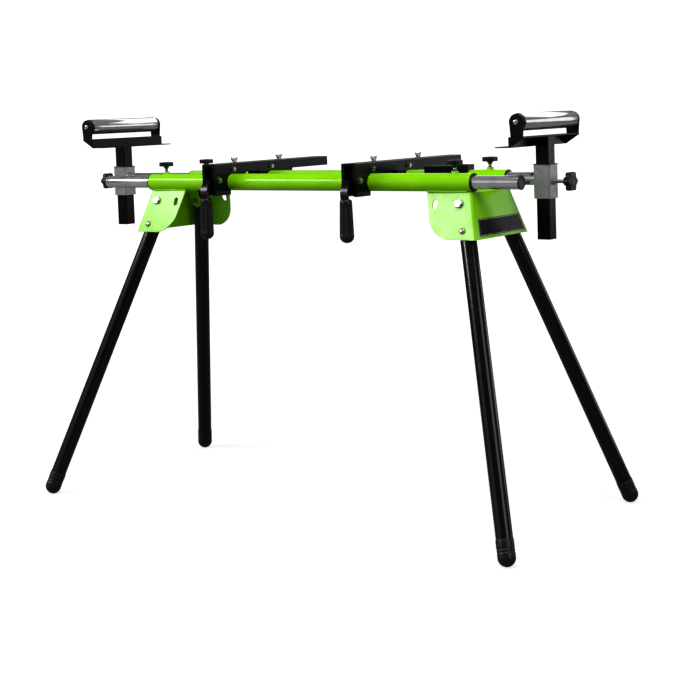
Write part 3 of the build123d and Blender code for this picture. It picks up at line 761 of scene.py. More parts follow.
class ThreadStamp(Stamp):
    """A screw thread that stands on its point: one ridge wound up a core."""

    def shape(self, tree: Tree, size: dict[str, Socket]) -> Socket:
        """Winds the ridge as a helix, with a four-sided section, round the core.

        Args:
            tree: The Geometry Nodes tree.
            size: The named inputs.

        Returns:
            The shape's geometry socket.
        """
        turns = add_node(tree, "ShaderNodeMath", {0: size["Length"], 1: size["Pitch"]}, operation="DIVIDE")
        helix = add_node(tree, "GeometryNodeCurveSpiral", {
            "Resolution": 24, "Rotations": turns.outputs[0], "Start Radius": size["Core"],
            "End Radius": size["Core"], "Height": size["Length"]})
        ridge = add_node(tree, "ShaderNodeMath", {0: size["Pitch"], 1: 0.5}, operation="MULTIPLY")
        section = add_node(tree, "GeometryNodeCurvePrimitiveCircle", {
            "Resolution": 4, "Radius": ridge.outputs[0]})
        wound = add_node(tree, "GeometryNodeCurveToMesh", {
            "Curve": helix.outputs["Curve"], "Profile Curve": section.outputs["Curve"], "Fill Caps": True})
        core = add_node(tree, "GeometryNodeMeshCylinder", {
            "Vertices": 32, "Radius": size["Core"], "Depth": size["Length"]})
        half = add_node(tree, "ShaderNodeMath", {0: size["Length"], 1: 0.5}, operation="MULTIPLY")
        join = add_node(tree, "GeometryNodeJoinGeometry")
        tree.links.new(wound.outputs["Mesh"], join.inputs[0])
        tree.links.new(raised(tree, core.outputs["Mesh"], half.outputs[0]), join.inputs[0])
        return join.outputs[0]


class LobeStamp(Stamp):
    """A knob head with scalloped sides: a circle pinched by a wave, filled and pushed up."""

    def shape(self, tree: Tree, size: dict[str, Socket]) -> Socket:
        """Pinches the circle between the lobes, then closes it into a slab.

        Args:
            tree: The Geometry Nodes tree.
            size: The named inputs.

        Returns:
            The shape's geometry socket.
        """
        circle = add_node(tree, "GeometryNodeCurvePrimitiveCircle", {
            "Resolution": 120, "Radius": size["Radius"]})
        place = add_node(tree, "GeometryNodeInputPosition").outputs[0]
        split = add_node(tree, "ShaderNodeSeparateXYZ", {"Vector": place})
        angle = add_node(tree, "ShaderNodeMath", {
            0: split.outputs["Y"], 1: split.outputs["X"]}, operation="ARCTAN2")
        phase = add_node(tree, "ShaderNodeMath", {
            0: angle.outputs[0], 1: size["Lobes"]}, operation="MULTIPLY")
        wave = add_node(tree, "ShaderNodeMath", {0: phase.outputs[0]}, operation="COSINE")
        hollow = add_node(tree, "ShaderNodeMapRange", {
            "Value": wave.outputs[0], "From Min": -1.0, "From Max": 1.0, "To Min": 0.0, "To Max": 1.0},
            interpolation_type="SMOOTHSTEP")
        pinch = add_node(tree, "ShaderNodeMath", {
            0: hollow.outputs["Result"], 1: size["Pinch"]}, operation="MULTIPLY")
        factor = add_node(tree, "ShaderNodeMath", {0: 1.0, 1: pinch.outputs[0]}, operation="SUBTRACT")
        spot = add_node(tree, "ShaderNodeVectorMath", {
            0: place, "Scale": factor.outputs[0]}, operation="SCALE")
        lobed = add_node(tree, "GeometryNodeSetPosition", {
            "Geometry": circle.outputs["Curve"], "Position": spot.outputs[0]})
        filled = add_node(tree, "GeometryNodeFillCurve", {"Curve": lobed.outputs["Geometry"]}, mode="NGONS")
        pushed = add_node(tree, "GeometryNodeExtrudeMesh", {
            "Mesh": filled.outputs["Mesh"], "Offset Scale": size["Height"]})
        join = add_node(tree, "GeometryNodeJoinGeometry")
        for part in (pushed, filled):
            tree.links.new(part.outputs["Mesh"], join.inputs[0])
        return join.outputs[0]


class WeldStamp(Stamp):
    """A weld bead: overlapping ripples laid along a line, each a little different."""

    def placed(self, tree: Tree, points: Socket, size: dict[str, Socket]) -> Socket:
        """Lays a flattened ball every step along the line, with a fixed seed.

        Args:
            tree: The Geometry Nodes tree.
            points: The marked points.
            size: The named inputs.

        Returns:
            The instances' geometry socket.
        """
        line = add_node(tree, "GeometryNodeMeshToCurve", {"Mesh": points})
        steps = add_node(tree, "GeometryNodeResampleCurve", {
            "Curve": line.outputs["Curve"], "Length": size["Step"]}, mode="LENGTH")
        ball = add_node(tree, "GeometryNodeMeshIcoSphere", {"Radius": size["Radius"], "Subdivisions": 3})
        scale = add_node(tree, "FunctionNodeRandomValue", {
            0: (0.85, 0.8, 0.8), 1: (1.2, 1.1, 1.1), "Seed": 7}, data_type="FLOAT_VECTOR")
        return add_node(tree, "GeometryNodeInstanceOnPoints", {
            "Points": steps.outputs["Curve"], "Instance": ball.outputs["Mesh"],
            "Scale": scale.outputs[0]}).outputs["Instances"]


def tube(places: Sequence[tuple], finish: Finish, radius: float, wall: float, length: float,
         edge: float = 0.3) -> bpy.types.Mesh:
    """Tubes or washers with rounded rims.

    Args:
        places: (point, aim) pairs: where each starts, and where it leads.
        finish: Their finish.
        radius: Outer radius, in mm.
        wall: Wall thickness, in mm.
        length: Length, in mm.
        edge: Rounding of the rims, in mm.

    Returns:
        A plain mesh.
    """
    sizes = {"Radius": radius * MM, "Wall": wall * MM, "Length": length * MM, "Edge": edge * MM}
    return TubeStamp("tube", sizes).stamped(places, finish)


def hexagons(places: Sequence[tuple], finish: Finish, flats: float, height: float) -> bpy.types.Mesh:
    """Hexagon heads or nuts.

    Args:
        places: (point, aim) pairs.
        finish: Their finish.
        flats: Size across flats, in mm.
        height: Height, in mm.

    Returns:
        A plain mesh.
    """
    return HexStamp("hexagon", {"Across Flats": flats * MM, "Height": height * MM}).stamped(places, finish)


def thread(places: Sequence[tuple], finish: Finish, core: float, length: float,
           pitch: float = 1.25) -> bpy.types.Mesh:
    """Screw threads.

    Args:
        places: (point, aim) pairs.
        finish: Their finish.
        core: Radius of the core, in mm.
        length: Length, in mm.
        pitch: Height of one turn, in mm.

    Returns:
        A plain mesh.
    """
    sizes = {"Core": core * MM, "Length": length * MM, "Pitch": pitch * MM}
    return ThreadStamp("thread", sizes).stamped(places, finish)


# ---------------------------------------------------------------- sub-assemblies


def middle(node: str) -> Vector:
    """The centre of a CAD node's box."""
    low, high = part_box(node)
    return (low + high) / 2


def pivot_of(joint: str) -> Vector:
    """Where a joint of the record turns."""
    return Vector(JOINTS[joint]["pos_m"])


def axis_of(joint: str) -> Vector:
    """The direction of a joint of the record."""
    return Vector(JOINTS[joint]["axis"]).normalized()


def face_of(node: str, way: Sequence[float]) -> Vector:
    """The middle of one face of a CAD node's box.

    Args:
        node: The CAD node.
        way: The face's direction, one unit along an axis.

    Returns:
        The point, in metres.
    """
    low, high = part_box(node)
    center = (low + high) / 2
    return Vector([high[i] if w > 0.5 else low[i] if w < -0.5 else center[i] for i, w in enumerate(way)])


@dataclass
class MainTube:
    """One green main tube with its two welded nuts."""

    row: Row
    radius: float = 19.0
    wall: float = 1.5
    boss: float = 7.5

    def build(self) -> None:
        """Sweeps the tube and stands the nuts on it, each in a collar of weld."""
        node = f"tube_{self.row.word}"
        low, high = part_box(node)
        y = middle(node).y
        axis_z = low.z + self.radius * MM
        start = Vector((low.x, y, axis_z))
        form = Form().add(tube([(start, (1, 0, 0))], GREEN, self.radius, self.wall,
                               (high.x - low.x) / MM, 0.5))
        top = (high.z - axis_z) / MM
        collar = [(0, 14), (11.2, 14), (11.2, 16.2), (8.6, 18.6), (self.boss, 20.2),
                  (self.boss, top), (4.3, top), (4.3, top - 3), (0, top - 3)]
        for side in Side:
            knob = pivot_of(f"tube_knob_turn_{self.row.word}_{side.word}")
            form.lathe(soften(collar, 0.8), (knob.x, y, axis_z), UP)
        form.piece(f"main_tube_{self.row.word}", GREEN, "frame", [node])


@dataclass
class TubeBushes:
    """The black bushes in the four tube ends, with the lip that the eye sees."""

    bore: float = 14.05
    depth: float = 25.0
    lip: float = 2.5
    flange: float = 19.3

    def build(self) -> None:
        """Turns each bush as one shell with a rounded lip."""
        low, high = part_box("tube_bushes")
        length = self.depth + self.lip
        section = soften([(self.bore, 0), (17.4, 0), (17.4, self.depth), (self.flange, self.depth),
                          (self.flange, length), (self.bore, length), (self.bore, 0)], 0.7)
        form = Form()
        for row in Row:
            axis = middle(f"extension_{row.word}_right")
            for x, way in ((high.x, 1), (low.x, -1)):
                form.lathe(section[:-1], (x - way * length * MM, axis.y, axis.z), (way, 0, 0), 96, loop=True)
        form.piece("bushes_in_tube_ends", NYLON, "frame", ["tube_bushes"])


@dataclass
class Housing:
    """A pressed leg housing with its weld beads."""

    side: Side
    seam_from: float = 5.0
    seam_to: float = 99.0
    seam_half: float = 8.2
    seam_drop: float = 18.3

    def build(self) -> None:
        """Builds the pressing, then the ripples of weld along the seams of both tubes."""
        node = f"housing_{self.side.word}"
        cast(node, f"{node}_pressing", GREEN, "frame", edge_mm=0.55)
        way = self.side.value
        inner = face_of(node, (-way, 0, 0)).x
        z = middle("extension_front_right").z - self.seam_drop * MM
        places, edges = [], []
        for row in Row:
            y = middle(f"extension_{row.word}_{self.side.word}").y
            for offset in (row.value * self.seam_half, -row.value * self.seam_half):
                edges.append((len(places), len(places) + 1))
                places += [((inner + way * run * MM, y + offset * MM, z), UP)
                           for run in (self.seam_from, self.seam_to)]
        bead = WeldStamp("weld", {"Step": 2.1 * MM, "Radius": 2.5 * MM}).stamped(places, GREEN, edges)
        Form().add(bead).piece(f"weld_{self.side.word}", GREEN, "frame")


@dataclass
class PivotBolts:
    """The four leg bolts: washer, hexagon and nut, each square to its cheek."""

    cheek: float = 20.0
    tab: float = 20.5
    flats: float = 16.0
    washer: float = 1.4

    def build(self) -> None:
        """Stamps washers, heads, nuts and thread ends at the legs' pivots."""
        outside, inside, ends = [], [], []
        form = Form()
        for side in Side:
            for row in Row:
                corner = f"{row.word}_{side.word}"
                pivot = pivot_of(f"leg_fold_{corner}")
                out = -axis_of(f"lock_press_{corner}")
                outside.append((pivot + out * self.cheek * MM, out))
                inside.append((pivot - out * self.tab * MM, -out))
                ends.append((pivot - out * (self.tab + 8) * MM, -out))
                form.lathe([(0, -self.tab), (5, -self.tab), (5, self.cheek), (0, self.cheek)], pivot, out, 32)
        form.add(tube(outside, BOLT_ZINC, 9.5, 4.4, 1.5, 0.3))
        heads = [(p + a * self.washer * MM, a) for p, a in outside]
        form.add(hexagons(heads, BOLT_ZINC, self.flats, 5.2))
        crown = [(0, 0), (6.9, 0), (6.9, 5.0), (5.6, 5.6), (3.2, 5.6), (2.8, 4.9), (0, 4.9)]
        for point, aim in heads:
            form.lathe(soften(crown, 0.6), point, aim, 40)
        form.add(hexagons(inside, BOLT_ZINC, self.flats, 7.6))
        form.add(thread(ends, BOLT_ZINC, 4.3, 2.0, 1.25))
        form.piece("pivot_bolts_with_nuts", BOLT_ZINC, "frame", ["leg_pivot_bolts"], smooth=32)


@dataclass
class Label:
    """The plain black plate on the right housing, with a thin pale border and no lettering."""

    margin: float = 2.2
    line: float = 0.8

    def build(self) -> None:
        """Copies the plate, insets its outer face twice and paints the thin ring."""
        form = Form().copy("label_plate")
        mesh = form.mesh
        face = max(mesh.faces, key=lambda f: f.calc_area() * (1 if f.normal.x > 0 else 0))
        bmesh.ops.inset_region(mesh, faces=[face], thickness=self.margin * MM)
        ring = bmesh.ops.inset_region(mesh, faces=[face], thickness=self.line * MM)["faces"]
        marks = [tuple(f.calc_center_median()) for f in ring]
        plate = form.piece("label_plate_plain", LABEL, "frame", ["label_plate"], smooth=20)
        plate.data.materials.append(LABEL_LINE.material())
        for polygon in plate.data.polygons:
            if any((polygon.center - Vector(mark)).length < 1e-5 for mark in marks):
                polygon.material_index = 1


@dataclass
class Leg:
    """A folding leg: enamelled tube, grooved rubber foot and sprung lock button."""

    side: Side
    row: Row
    foot_radius: float = 18.0
    tube_radius: float = 17.0
    button_radius: float = 6.5

    @property
    def corner(self) -> str:
        """Which leg it is, in node words."""
        return f"{self.row.word}_{self.side.word}"

    def build(self) -> None:
        """Builds the tube, then the foot, then the button."""
        leg = f"leg_{self.corner}"
        cast(leg, f"leg_tube_{self.corner}", LEG_BLACK, leg, smooth=30)
        self.foot()
        self.button()

    def foot(self) -> None:
        """Turns the rubber foot: a ball end, two grip grooves and a long collar."""
        corner = self.corner
        low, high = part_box(f"foot_cap_{corner}")
        edge = self.foot_radius * MM
        place = Vector((high.x - edge if self.side is Side.RIGHT else low.x + edge,
                        high.y - edge if self.row is Row.REAR else low.y + edge, low.z + edge))
        down = (place - pivot_of(f"leg_fold_{corner}")).normalized()
        radius, bore = self.foot_radius, self.tube_radius + 0.05
        ball = [(radius * math.sin(math.radians(a)), radius * math.cos(math.radians(a)))
                for a in range(4, 91, 6)]
        grooves = [(radius - cut, top - run) for top in (-7, -13)
                   for cut, run in ((0, 0), (0.45, 1), (0.45, 4), (0, 5))]
        rim = soften([(radius, -6), *grooves, (radius, -33.4), (radius - 0.6, -34), (bore, -34), (bore, -33)],
                     0.35, 2)
        Form().lathe([(0, radius)] + ball + rim + [(0, -33)], place, down, 72).piece(
            f"rubber_foot_{corner}", RUBBER, f"leg_{corner}", [f"foot_cap_{corner}"], smooth=50)

    def button(self) -> None:
        """Turns the domed steel button that stands in the cheek's hole."""
        node = f"lock_button_{self.corner}"
        wide = self.button_radius
        dome = [(0, -3.5), (wide, -3.5), (wide, 0.9)]
        dome += [(wide * math.cos(math.radians(a)), 0.9 + 2.6 * math.sin(math.radians(a)))
                 for a in range(15, 90, 15)]
        Form().lathe(dome + [(0, 3.5)], middle(node), -axis_of(f"lock_press_{self.corner}"), 48).piece(
            f"{node}_dome", BOLT_ZINC, node, [node], smooth=50)


@dataclass(frozen=True)
class Knob:
    """A scalloped nylon clamp knob with a turned hub and cap, on a threaded stud."""

    head: dict[str, float]
    sunk: float
    rounding: float
    hub: Sequence[tuple[float, float]]
    cap: Sequence[tuple[float, float]]
    cap_rounding: float
    stud: float

    def build(self, node: str, way: Vector) -> None:
        """Stamps the lobed head, turns the hub and cap, and winds the stud.

        Args:
            node: The knob's CAD node, which has its body's name.
            way: The direction from the stud to the head.
        """
        face = face_of(node, way)
        head = LobeStamp("knob", self.head).stamped([(face - way * self.sunk * MM, way)], NYLON)
        form = Form().add(head)
        bmesh.ops.remove_doubles(form.mesh, verts=form.mesh.verts, dist=1e-6)
        rims = [e for e in form.mesh.edges if e.is_manifold and e.calc_face_angle() > 1.2]
        bmesh.ops.bevel(form.mesh, geom=rims, offset=self.rounding * MM, segments=4, profile=0.6,
                        affect="EDGES")
        form.lathe(soften(self.hub, 1.0), face, way)
        form.lathe(soften(self.cap, self.cap_rounding), face, way)
        form.piece(f"{node}_head", NYLON, node, [node], smooth=40)
        stud = thread([(face_of(node, -way), way)], BOLT_ZINC, 3.45, self.stud, 1.25)
        Form().add(stud).piece(f"{node}_stud", BOLT_ZINC, node, smooth=60)


TUBE_KNOB = Knob(
    head={"Radius": 16.5 * MM, "Height": 9.7 * MM, "Pinch": 0.13, "Lobes": 6.0}, sunk=10.2, rounding=1.5,
    hub=[(0, -15), (4.9, -15), (5.4, -13.2), (7.0, -10.4), (9.6, -9.6), (9.6, -8), (0, -8)],
    cap=[(0, -1), (9.4, -1), (9.4, -0.2), (8.4, 0), (7.6, -0.45), (0, -0.3)], cap_rounding=0.3, stud=18.0)
STAR_KNOB = Knob(
    head={"Radius": 21 * MM, "Height": 12.6 * MM, "Pinch": 0.2, "Lobes": 6.0}, sunk=13.4, rounding=2.2,
    hub=[(0, -22), (7.4, -22), (8.8, -20), (11.5, -13.4), (11.5, -12), (0, -12)],
    cap=[(0, -2), (11.6, -2), (11.6, -0.5), (10.4, 0), (9.4, -0.6), (0, -0.3)], cap_rounding=0.4, stud=29.0)


@dataclass
class Extension:
    """A chromed extension tube with its end plug, or with the sleeve of a roller head."""

    side: Side
    row: Row
    radius: float = 14.0
    wall: float = 1.5

    @property
    def body(self) -> str:
        """The tube's CAD node, which has its body's name."""
        return f"extension_{self.row.word}_{self.side.word}"

    def build(self) -> None:
        """Sweeps the tube and fits what its end carries."""
        body = self.body
        low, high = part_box(body)
        data = tube([(face_of(body, (-1, 0, 0)), (1, 0, 0))], CHROME, self.radius, self.wall,
                    (high.x - low.x) / MM, 0.5)
        Form().add(data).piece(f"chrome_tube_{self.row.word}_{self.side.word}", CHROME, body, [body])
        if self.row is Row.FRONT:
            self.plug()
        else:
            self.sleeve()

    def plug(self) -> None:
        """Turns the black end plug with a shallow dish in its face."""
        node = f"extension_cap_{self.side.word}"
        way = (self.side.value, 0, 0)
        profile = [(0, -17), (12.4, -17), (12.4, -3), (15.2, -3), (15.2, -0.2), (12.6, 0), (11.4, -0.7),
                   (0, -0.9)]
        Form().lathe(soften(profile, 0.9), face_of(node, way), way, 80).piece(
            f"end_plug_{self.side.word}", NYLON, self.body, [node])

    def sleeve(self) -> None:
        """Builds the zinc sleeve, its liner and the uneven weld that joins it to the tube."""
        word, body = self.side.word, self.body
        cast(f"sleeve_{word}", f"zinc_sleeve_{word}", SLEEVE_ZINC, body, edge_mm=0.4)
        cast(f"liner_{word}", f"sleeve_liner_{word}", NYLON, body, edge_mm=0.3)
        ring = [(13.8, -0.3), (16.6, -0.3), (16.0, 1.4), (14.2, 2.6), (13.8, 2.6)]
        Form().lathe(ring, face_of(body, (self.side.value, 0, 0)), (-self.side.value, 0, 0), 72, loop=True,
                     wobble=0.012).piece(f"sleeve_weld_{word}", SLEEVE_ZINC, body)


@dataclass
class RollerHead:
    """A work support: square post, folded base with ears, and a chromed roller."""

    side: Side
    radius: float = 18.25
    wall: float = 1.5

    def build(self) -> None:
        """Builds the post and base, then the axle heads, then the roller."""
        word = self.side.word
        for node, name in ((f"post_{word}", "square_post"), (f"head_base_{word}", "roller_base")):
            cast(node, f"{name}_{word}", COAT_BLACK, f"head_{word}", edge_mm=0.5)
        self.axle()
        self.roller()

    def axle(self) -> None:
        """Turns the axle and its domed heads, each with a driver recess."""
        node = f"roller_axle_{self.side.word}"
        low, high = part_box(node)
        center = middle(node)
        length = (high.y - low.y) / MM - 4
        form = Form().lathe([(0, 0), (4, 0), (4, length), (0, length)],
                            (center.x, low.y + 2 * MM, center.z), (0, 1, 0), 32)
        dome = soften([(0, 0), (6, 0), (6, 1.6), (5.0, 4.0), (2.4, 4.9), (2.1, 3.2), (0, 3.0)], 0.9)
        for y, way in ((high.y - 5 * MM, 1), (low.y + 5 * MM, -1)):
            form.lathe(dome, (center.x, y, center.z), (0, way, 0), 48)
        form.piece(f"axle_screws_{self.side.word}", BOLT_ZINC, f"head_{self.side.word}", [node])

    def roller(self) -> None:
        """Sweeps the roller tube and turns the plastic bearings in its ends."""
        word = self.side.word
        node = f"roller_tube_{word}"
        low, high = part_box(node)
        data = tube([(face_of(node, (0, -1, 0)), (0, 1, 0))], CHROME, self.radius, self.wall,
                    (high.y - low.y) / MM, 0.6)
        Form().add(data).piece(f"chrome_roller_{word}", CHROME, f"roller_{word}", [node])
        section = [(4.06, -12), (16.6, -12), (16.6, 0), (18.0, 0), (18.0, 3.6), (16.4, 5), (13.0, 5),
                   (11.4, 3.2), (8.6, 3.2), (7.4, 5.9), (4.06, 5.9)]
        form = Form()
        for way in ((0, 1, 0), (0, -1, 0)):
            form.lathe(soften(section, 0.5), face_of(node, way), way, 72, loop=True)
        form.piece(f"roller_bearings_{word}", NYLON, f"roller_{word}", [f"roller_ends_{word}"])


@dataclass
class ToolArm:
    """A clamp-on tool arm: folded channel, cross bolts, cam lever, jaw and saw bolts."""

    side: Side
    half: float = 18.25
    bolt_reach: float = 70.0
    bolt_rise: float = 29.5
    cam_throw: float = 3.0
    cam_lean: float = math.radians(50)
    cam_radius: float = 7.8
    cam_half: float = 11.8
    strap_half: float = 9.0
    strap_sheet: float = 2.2
    grip_radius: float = 16.4
    grip_taper: float = 2.9
    grip_flatness: float = 0.87
    grip_ribs: int = 12
    rib_depth: float = 1.25
    rib_start: float = 14.0
    rib_end: float = 9.0

    def build(self) -> None:
        """Builds the channel first, then what it carries."""
        word = self.side.word
        cast(f"arm_{word}", f"arm_channel_{word}", COAT_BLACK, f"arm_{word}", edge_mm=0.5)
        cast(f"jaw_{word}", f"clamp_jaw_{word}", COAT_BLACK, f"jaw_{word}", edge_mm=0.5)
        self.bolts()
        self.lever()
        self.grip()
        for row in Row:
            self.saw_bolt(row)

    def bolts(self) -> None:
        """Stamps the heads and nuts of the cross bolts and of the lever's pin."""
        node = f"arm_bolts_{self.side.word}"
        pin = pivot_of(f"lever_open_{self.side.word}")
        between = middle("tube_front").y + 72 * MM
        rise = middle("extension_front_right").z + self.bolt_rise * MM
        spots = [(Vector((pin.x, y * MM + between, rise)), 9.8) for y in (self.bolt_reach, -self.bolt_reach)]
        form = Form()
        for spot, flats in spots + [(pin, 12.6)]:
            for way in (1, -1):
                base = spot + Vector((way * self.half * MM, 0, 0))
                form.add(tube([(base, (way, 0, 0))], BOLT_ZINC, flats * 0.6, flats * 0.3, 0.8, 0.2))
                head = base + Vector((way * 0.7 * MM, 0, 0))
                form.add(hexagons([(head, (way, 0, 0))], BOLT_ZINC, flats, 4.2))
            shank, end = flats * 0.3, self.half + 6.5
            form.lathe([(0, -self.half), (shank, -self.half), (shank, end), (0, end)], spot, (1, 0, 0), 32)
        form.piece(f"{node}_set", BOLT_ZINC, f"arm_{self.side.word}", [node], smooth=32)

    def lever(self) -> None:
        """Turns the cam's eye, adds the cam and draws the strap along a smooth line."""
        word = self.side.word
        pin = pivot_of(f"lever_open_{word}")
        ring = soften([(4.06, -12), (7.4, -12), (7.4, 12), (4.06, 12), (4.06, -12)], 0.5)
        form = Form().lathe(ring[:-1], pin, (1, 0, 0), loop=True)
        cam = Vector((0, math.cos(self.cam_lean), -math.sin(self.cam_lean))) * self.cam_throw * MM
        radius, half = self.cam_radius, self.cam_half
        outer = [pin + cam * 0.85 + Vector((-half, radius * math.cos(a), radius * math.sin(a))) * MM
                 for a in (2 * math.pi * i / 64 for i in range(64)) if math.cos(a + self.cam_lean) > -0.25]
        form.prism(outer, Vector((2 * half * MM, 0, 0)))
        # The strap leaves the cam, curves out through the front slot and drops into the grip
        line = smooth_path([(-4, 0.4), (-11.5, 0.9), (-18.5, -3.6), (-25.0, -10.4), (-29.6, -19.6),
                            (-31.0, -30), (-29.5, -42), (-27.5, -53), (-26.4, -66), (-26.4, -84),
                            (-26.4, -110)], 5)
        form.loft(self.strap(pin, line))
        form.piece(f"clamp_lever_{word}", LEVER_STEEL, f"lever_{word}", [f"lever_{word}"], smooth=50)

    def strap(self, pin: Vector, line: list[Vector]) -> list[list[Vector]]:
        """The strap's channel section along its line: a web with two turned edges.

        Args:
            pin: The lever's pin.
            line: The strap's line, as (y, z) pairs from the pin, in mm.

        Returns:
            One ring of points for each point of the line.
        """
        rings = []
        wide, sheet = self.strap_half, self.strap_sheet
        for i, spot in enumerate(line):
            ahead = line[min(i + 1, len(line) - 1)] - line[max(i - 1, 0)]
            run = i / (len(line) - 1)
            out = Vector((-ahead.y, ahead.x)).normalized()
            deep = 6.6 if run < 0.55 else 6.6 - 3.4 * (run - 0.55) / 0.45
            section = [(-wide, 0), (-wide, deep), (-wide + sheet, deep), (-wide + sheet, sheet),
                       (wide - sheet, sheet), (wide - sheet, deep), (wide, deep), (wide, 0)]
            places = [(x, spot + out * (height - deep / 2)) for x, height in section]
            rings.append([pin + Vector((x, place.x, place.y)) * MM for x, place in places])
        return rings

    def grip(self) -> None:
        """Skins the rubber grip: slim at the top, full and round at the bottom, with ribs."""
        node = f"grip_{self.side.word}"
        low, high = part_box(node)
        center = middle(node)
        height = (high.z - low.z) / MM
        steps, around = 56, 120
        rings = []
        for k in range(steps + 1):
            z = height * k / steps
            full = self.grip_radius - self.grip_taper * (z / height) ** 1.2
            if z < 15:
                full *= math.sqrt(max(1 - (1 - z / 15) ** 2, 0.0006))
            if z > height - 4:
                full *= 1 - 0.2 * ((z - height + 4) / 4) ** 2
            # The grooves between the ribs fade out towards the ball end and the top
            fade = max(0.0, min(1.0, (z - self.rib_start) / 6, (height - self.rib_end - z) / 5))
            ring = []
            for i in range(around):
                angle = 2 * math.pi * i / around
                wave = max(0.0, math.cos(angle * self.grip_ribs)) ** 0.7
                radius = full - self.rib_depth * fade * (1 - wave)
                ring.append(Vector((center.x + radius * MM * math.cos(angle),
                                    center.y + radius * self.grip_flatness * MM * math.sin(angle),
                                    low.z + z * MM)))
            rings.append(ring)
        Form().loft(rings).piece(f"ribbed_{node}", RUBBER, f"lever_{self.side.word}", [node], smooth=60)

    def saw_bolt(self, row: Row) -> None:
        """Builds one saw-fixing bolt: washer, threaded end and wing nut.

        Args:
            row: Which of the arm's two slots it stands in.
        """
        node = f"saw_bolt_{row.word}_{self.side.word}"
        low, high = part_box(node)
        center = middle(node)
        foot = Vector((center.x, center.y, low.z))
        base = Vector((center.x, center.y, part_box(f"arm_{self.side.word}")[1].z + 0.35 * MM))
        form = Form().add(tube([(base, UP)], BOLT_ZINC, 7.0, 3.8, 1.2, 0.25))
        form.add(thread([(foot + UP * 3 * MM, UP)], BOLT_ZINC, 2.6, (high.z - low.z) / MM - 5.2, 1.0))
        form.lathe(soften([(0, 0), (6.4, 0), (6.4, 1.8), (4.6, 2.9), (0, 3.0)], 0.5), foot, UP, 40)
        form.lathe(soften([(0, 1.2), (4.9, 1.2), (4.3, 6.4), (3.2, 7.0), (0, 7.0)], 0.6), base, UP, 40)
        outline = [(3.2, 1.9), (6.2, 2.4), (8.8, 4.8), (11.2, 8.4), (11.5, 10.4), (10.4, 11.7),
                   (8.9, 11.2), (7.2, 8.4), (5.4, 6.2), (3.2, 5.8)]
        for way in (1, -1):
            ring = [base + Vector((0, way * y, z)) * MM for y, z in outline]
            inner = sum(ring, Vector()) / len(ring)
            form.loft([[inner + (p - inner) * shrink + Vector((x * MM, 0, 0)) for p in ring]
                       for x, shrink in ((-1.5, 0.84), (-1.25, 0.95), (-0.6, 1.0), (0.6, 1.0), (1.25, 0.95),
                                         (1.5, 0.84))])
        form.piece(f"{node}_wing", BOLT_ZINC, node, [node], smooth=45)



@dataclass
class TubeBlock:
    """The black block that saddles the rear tube."""

    edge: float = 0.8

    def build(self) -> None:
        """Copies the block's casting and rounds its edges."""
        cast("tube_block", "rear_tube_block", COAT_BLACK, "frame", edge_mm=self.edge)


# ---------------------------------------------------------------- studio


class LightShape(Enum):
    """The two kinds of soft light in the studio."""

    STRIP = "RECTANGLE"
    PANEL = "SQUARE"


@dataclass
class SoftLight:
    """A soft area light that looks at a spot on the stand."""

    name: str
    place: tuple[float, float, float]
    size: tuple[float, float]
    watts: float
    shape: LightShape = LightShape.STRIP
    target: tuple[float, float, float] = (0.0, 0.0, 0.62)

    def build(self) -> None:
        """Adds the light."""
        data = bpy.data.lights.new(self.name, "AREA")
        data.shape = self.shape.value
        data.size = self.size[0]
        if self.shape is LightShape.STRIP:
            data.size_y = self.size[1]
        data.energy = self.watts
        lamp = bpy.data.objects.new(self.name, data)
        bpy.context.scene.collection.objects.link(lamp)
        aim = Vector(self.target) - Vector(self.place)
        lamp.location = self.place
        lamp.rotation_euler = aim.to_track_quat("-Z", "Y").to_euler()
        lamp.visible_camera = False


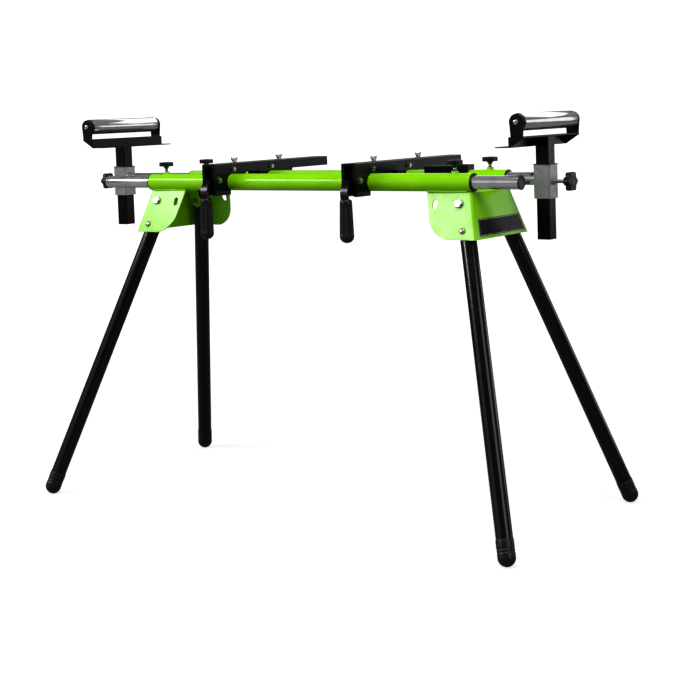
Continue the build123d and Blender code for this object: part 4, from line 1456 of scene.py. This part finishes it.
@dataclass
class Studio:
    """White paper floor, a dim room with soft panels round the stand, and the camera."""

    camera_place: tuple[float, float, float] = (2.112, -2.8205, 0.885)
    azimuth: float = 35.17
    down: float = 4.56
    roll: float = -1.88
    lens: float = 80.54
    drop: float = -0.1714
    room: float = 0.13

    def build(self) -> None:
        """Builds the floor, the lights and the camera."""
        self.floor()
        self.sky()
        for light in (
            SoftLight("front_strip", (-2.81, -2.5, 2.35), (2.5, 0.7), 88),
            SoftLight("front_wash", (-2.4, -3.9, 1.9), (4.6, 3.0), 17),
            SoftLight("top_panel", (0.9, -1.3, 3.3), (2.0, 2.0), 58, LightShape.PANEL),
            SoftLight("back_panel", (-0.2, 4.0, 3.3), (5.6, 1.9), 44),
            SoftLight("low_back_panel", (2.7, 3.6, 1.0), (2.6, 1.3), 11),
            SoftLight("right_fill", (3.4, -0.8, 1.6), (1.6, 2.0), 20),
        ):
            light.build()
        self.camera()

    def floor(self) -> None:
        """Lays the paper as one wide sheet under the feet."""
        data = bpy.data.meshes.new("studio_floor")
        sheet = bmesh.new()
        bmesh.ops.create_grid(sheet, x_segments=8, y_segments=8, size=30.0)
        sheet.to_mesh(data)
        sheet.free()
        for vertex in data.vertices:
            vertex.co.z = CAD_BOX[0].z - 0.0005
        data.materials.append(PAPER.material())
        floor = bpy.data.objects.new("studio_floor", data)
        bpy.context.scene.collection.objects.link(floor)

    def sky(self) -> None:
        """Sets a white backdrop, and a dim room for everything that the stand reflects."""
        world = bpy.data.worlds.new("studio_surround")
        bpy.context.scene.world = world
        world.use_nodes = True
        tree = world.node_tree
        back = tree.nodes["Background"]
        back.inputs["Color"].default_value = WHITE
        seen = add_node(tree, "ShaderNodeLightPath").outputs["Is Camera Ray"]
        strength = add_node(tree, "ShaderNodeMapRange", {"Value": seen, "To Min": self.room, "To Max": 1.0})
        tree.links.new(strength.outputs["Result"], back.inputs["Strength"])
        # Plain colours, so that white paper and bright enamel keep their strength
        bpy.context.scene.view_settings.view_transform = "Standard"
        bpy.context.scene.view_settings.look = "Medium High Contrast"

    def camera(self) -> None:
        """Places the camera at the chosen viewing angle."""
        turn, pitch, roll = (math.radians(v) for v in (self.azimuth, self.down, self.roll))
        ahead = Vector((-math.sin(turn) * math.cos(pitch), math.cos(turn) * math.cos(pitch),
                        -math.sin(pitch)))
        level = Vector((math.cos(turn), math.sin(turn), 0))
        rise = level.cross(ahead)
        right = level * math.cos(roll) + rise * math.sin(roll)
        up = rise * math.cos(roll) - level * math.sin(roll)
        data = bpy.data.cameras.new("camera")
        data.lens = self.lens
        data.sensor_width = 36.0
        data.shift_y = self.drop
        data.clip_end = 200.0
        camera = bpy.data.objects.new("camera", data)
        bpy.context.scene.collection.objects.link(camera)
        frame_of_view = Matrix((right, up, -ahead)).transposed()
        camera.matrix_world = Matrix.Translation(self.camera_place) @ frame_of_view.to_4x4()
        bpy.context.scene.camera = camera


def main() -> None:
    logging.basicConfig(level=logging.INFO, format="%(name)s: %(message)s")
    for row in Row:
        MainTube(row).build()
    TubeBushes().build()
    PivotBolts().build()
    Label().build()
    TubeBlock().build()
    for side in Side:
        Housing(side).build()
        for row in Row:
            Leg(side, row).build()
            TUBE_KNOB.build(f"tube_knob_{row.word}_{side.word}", UP)
            Extension(side, row).build()
        STAR_KNOB.build(f"sleeve_knob_{side.word}", Vector((side.value, 0, 0)))
        RollerHead(side).build()
        ToolArm(side).build()
    Studio().build()


if __name__ == "__main__":
    main()
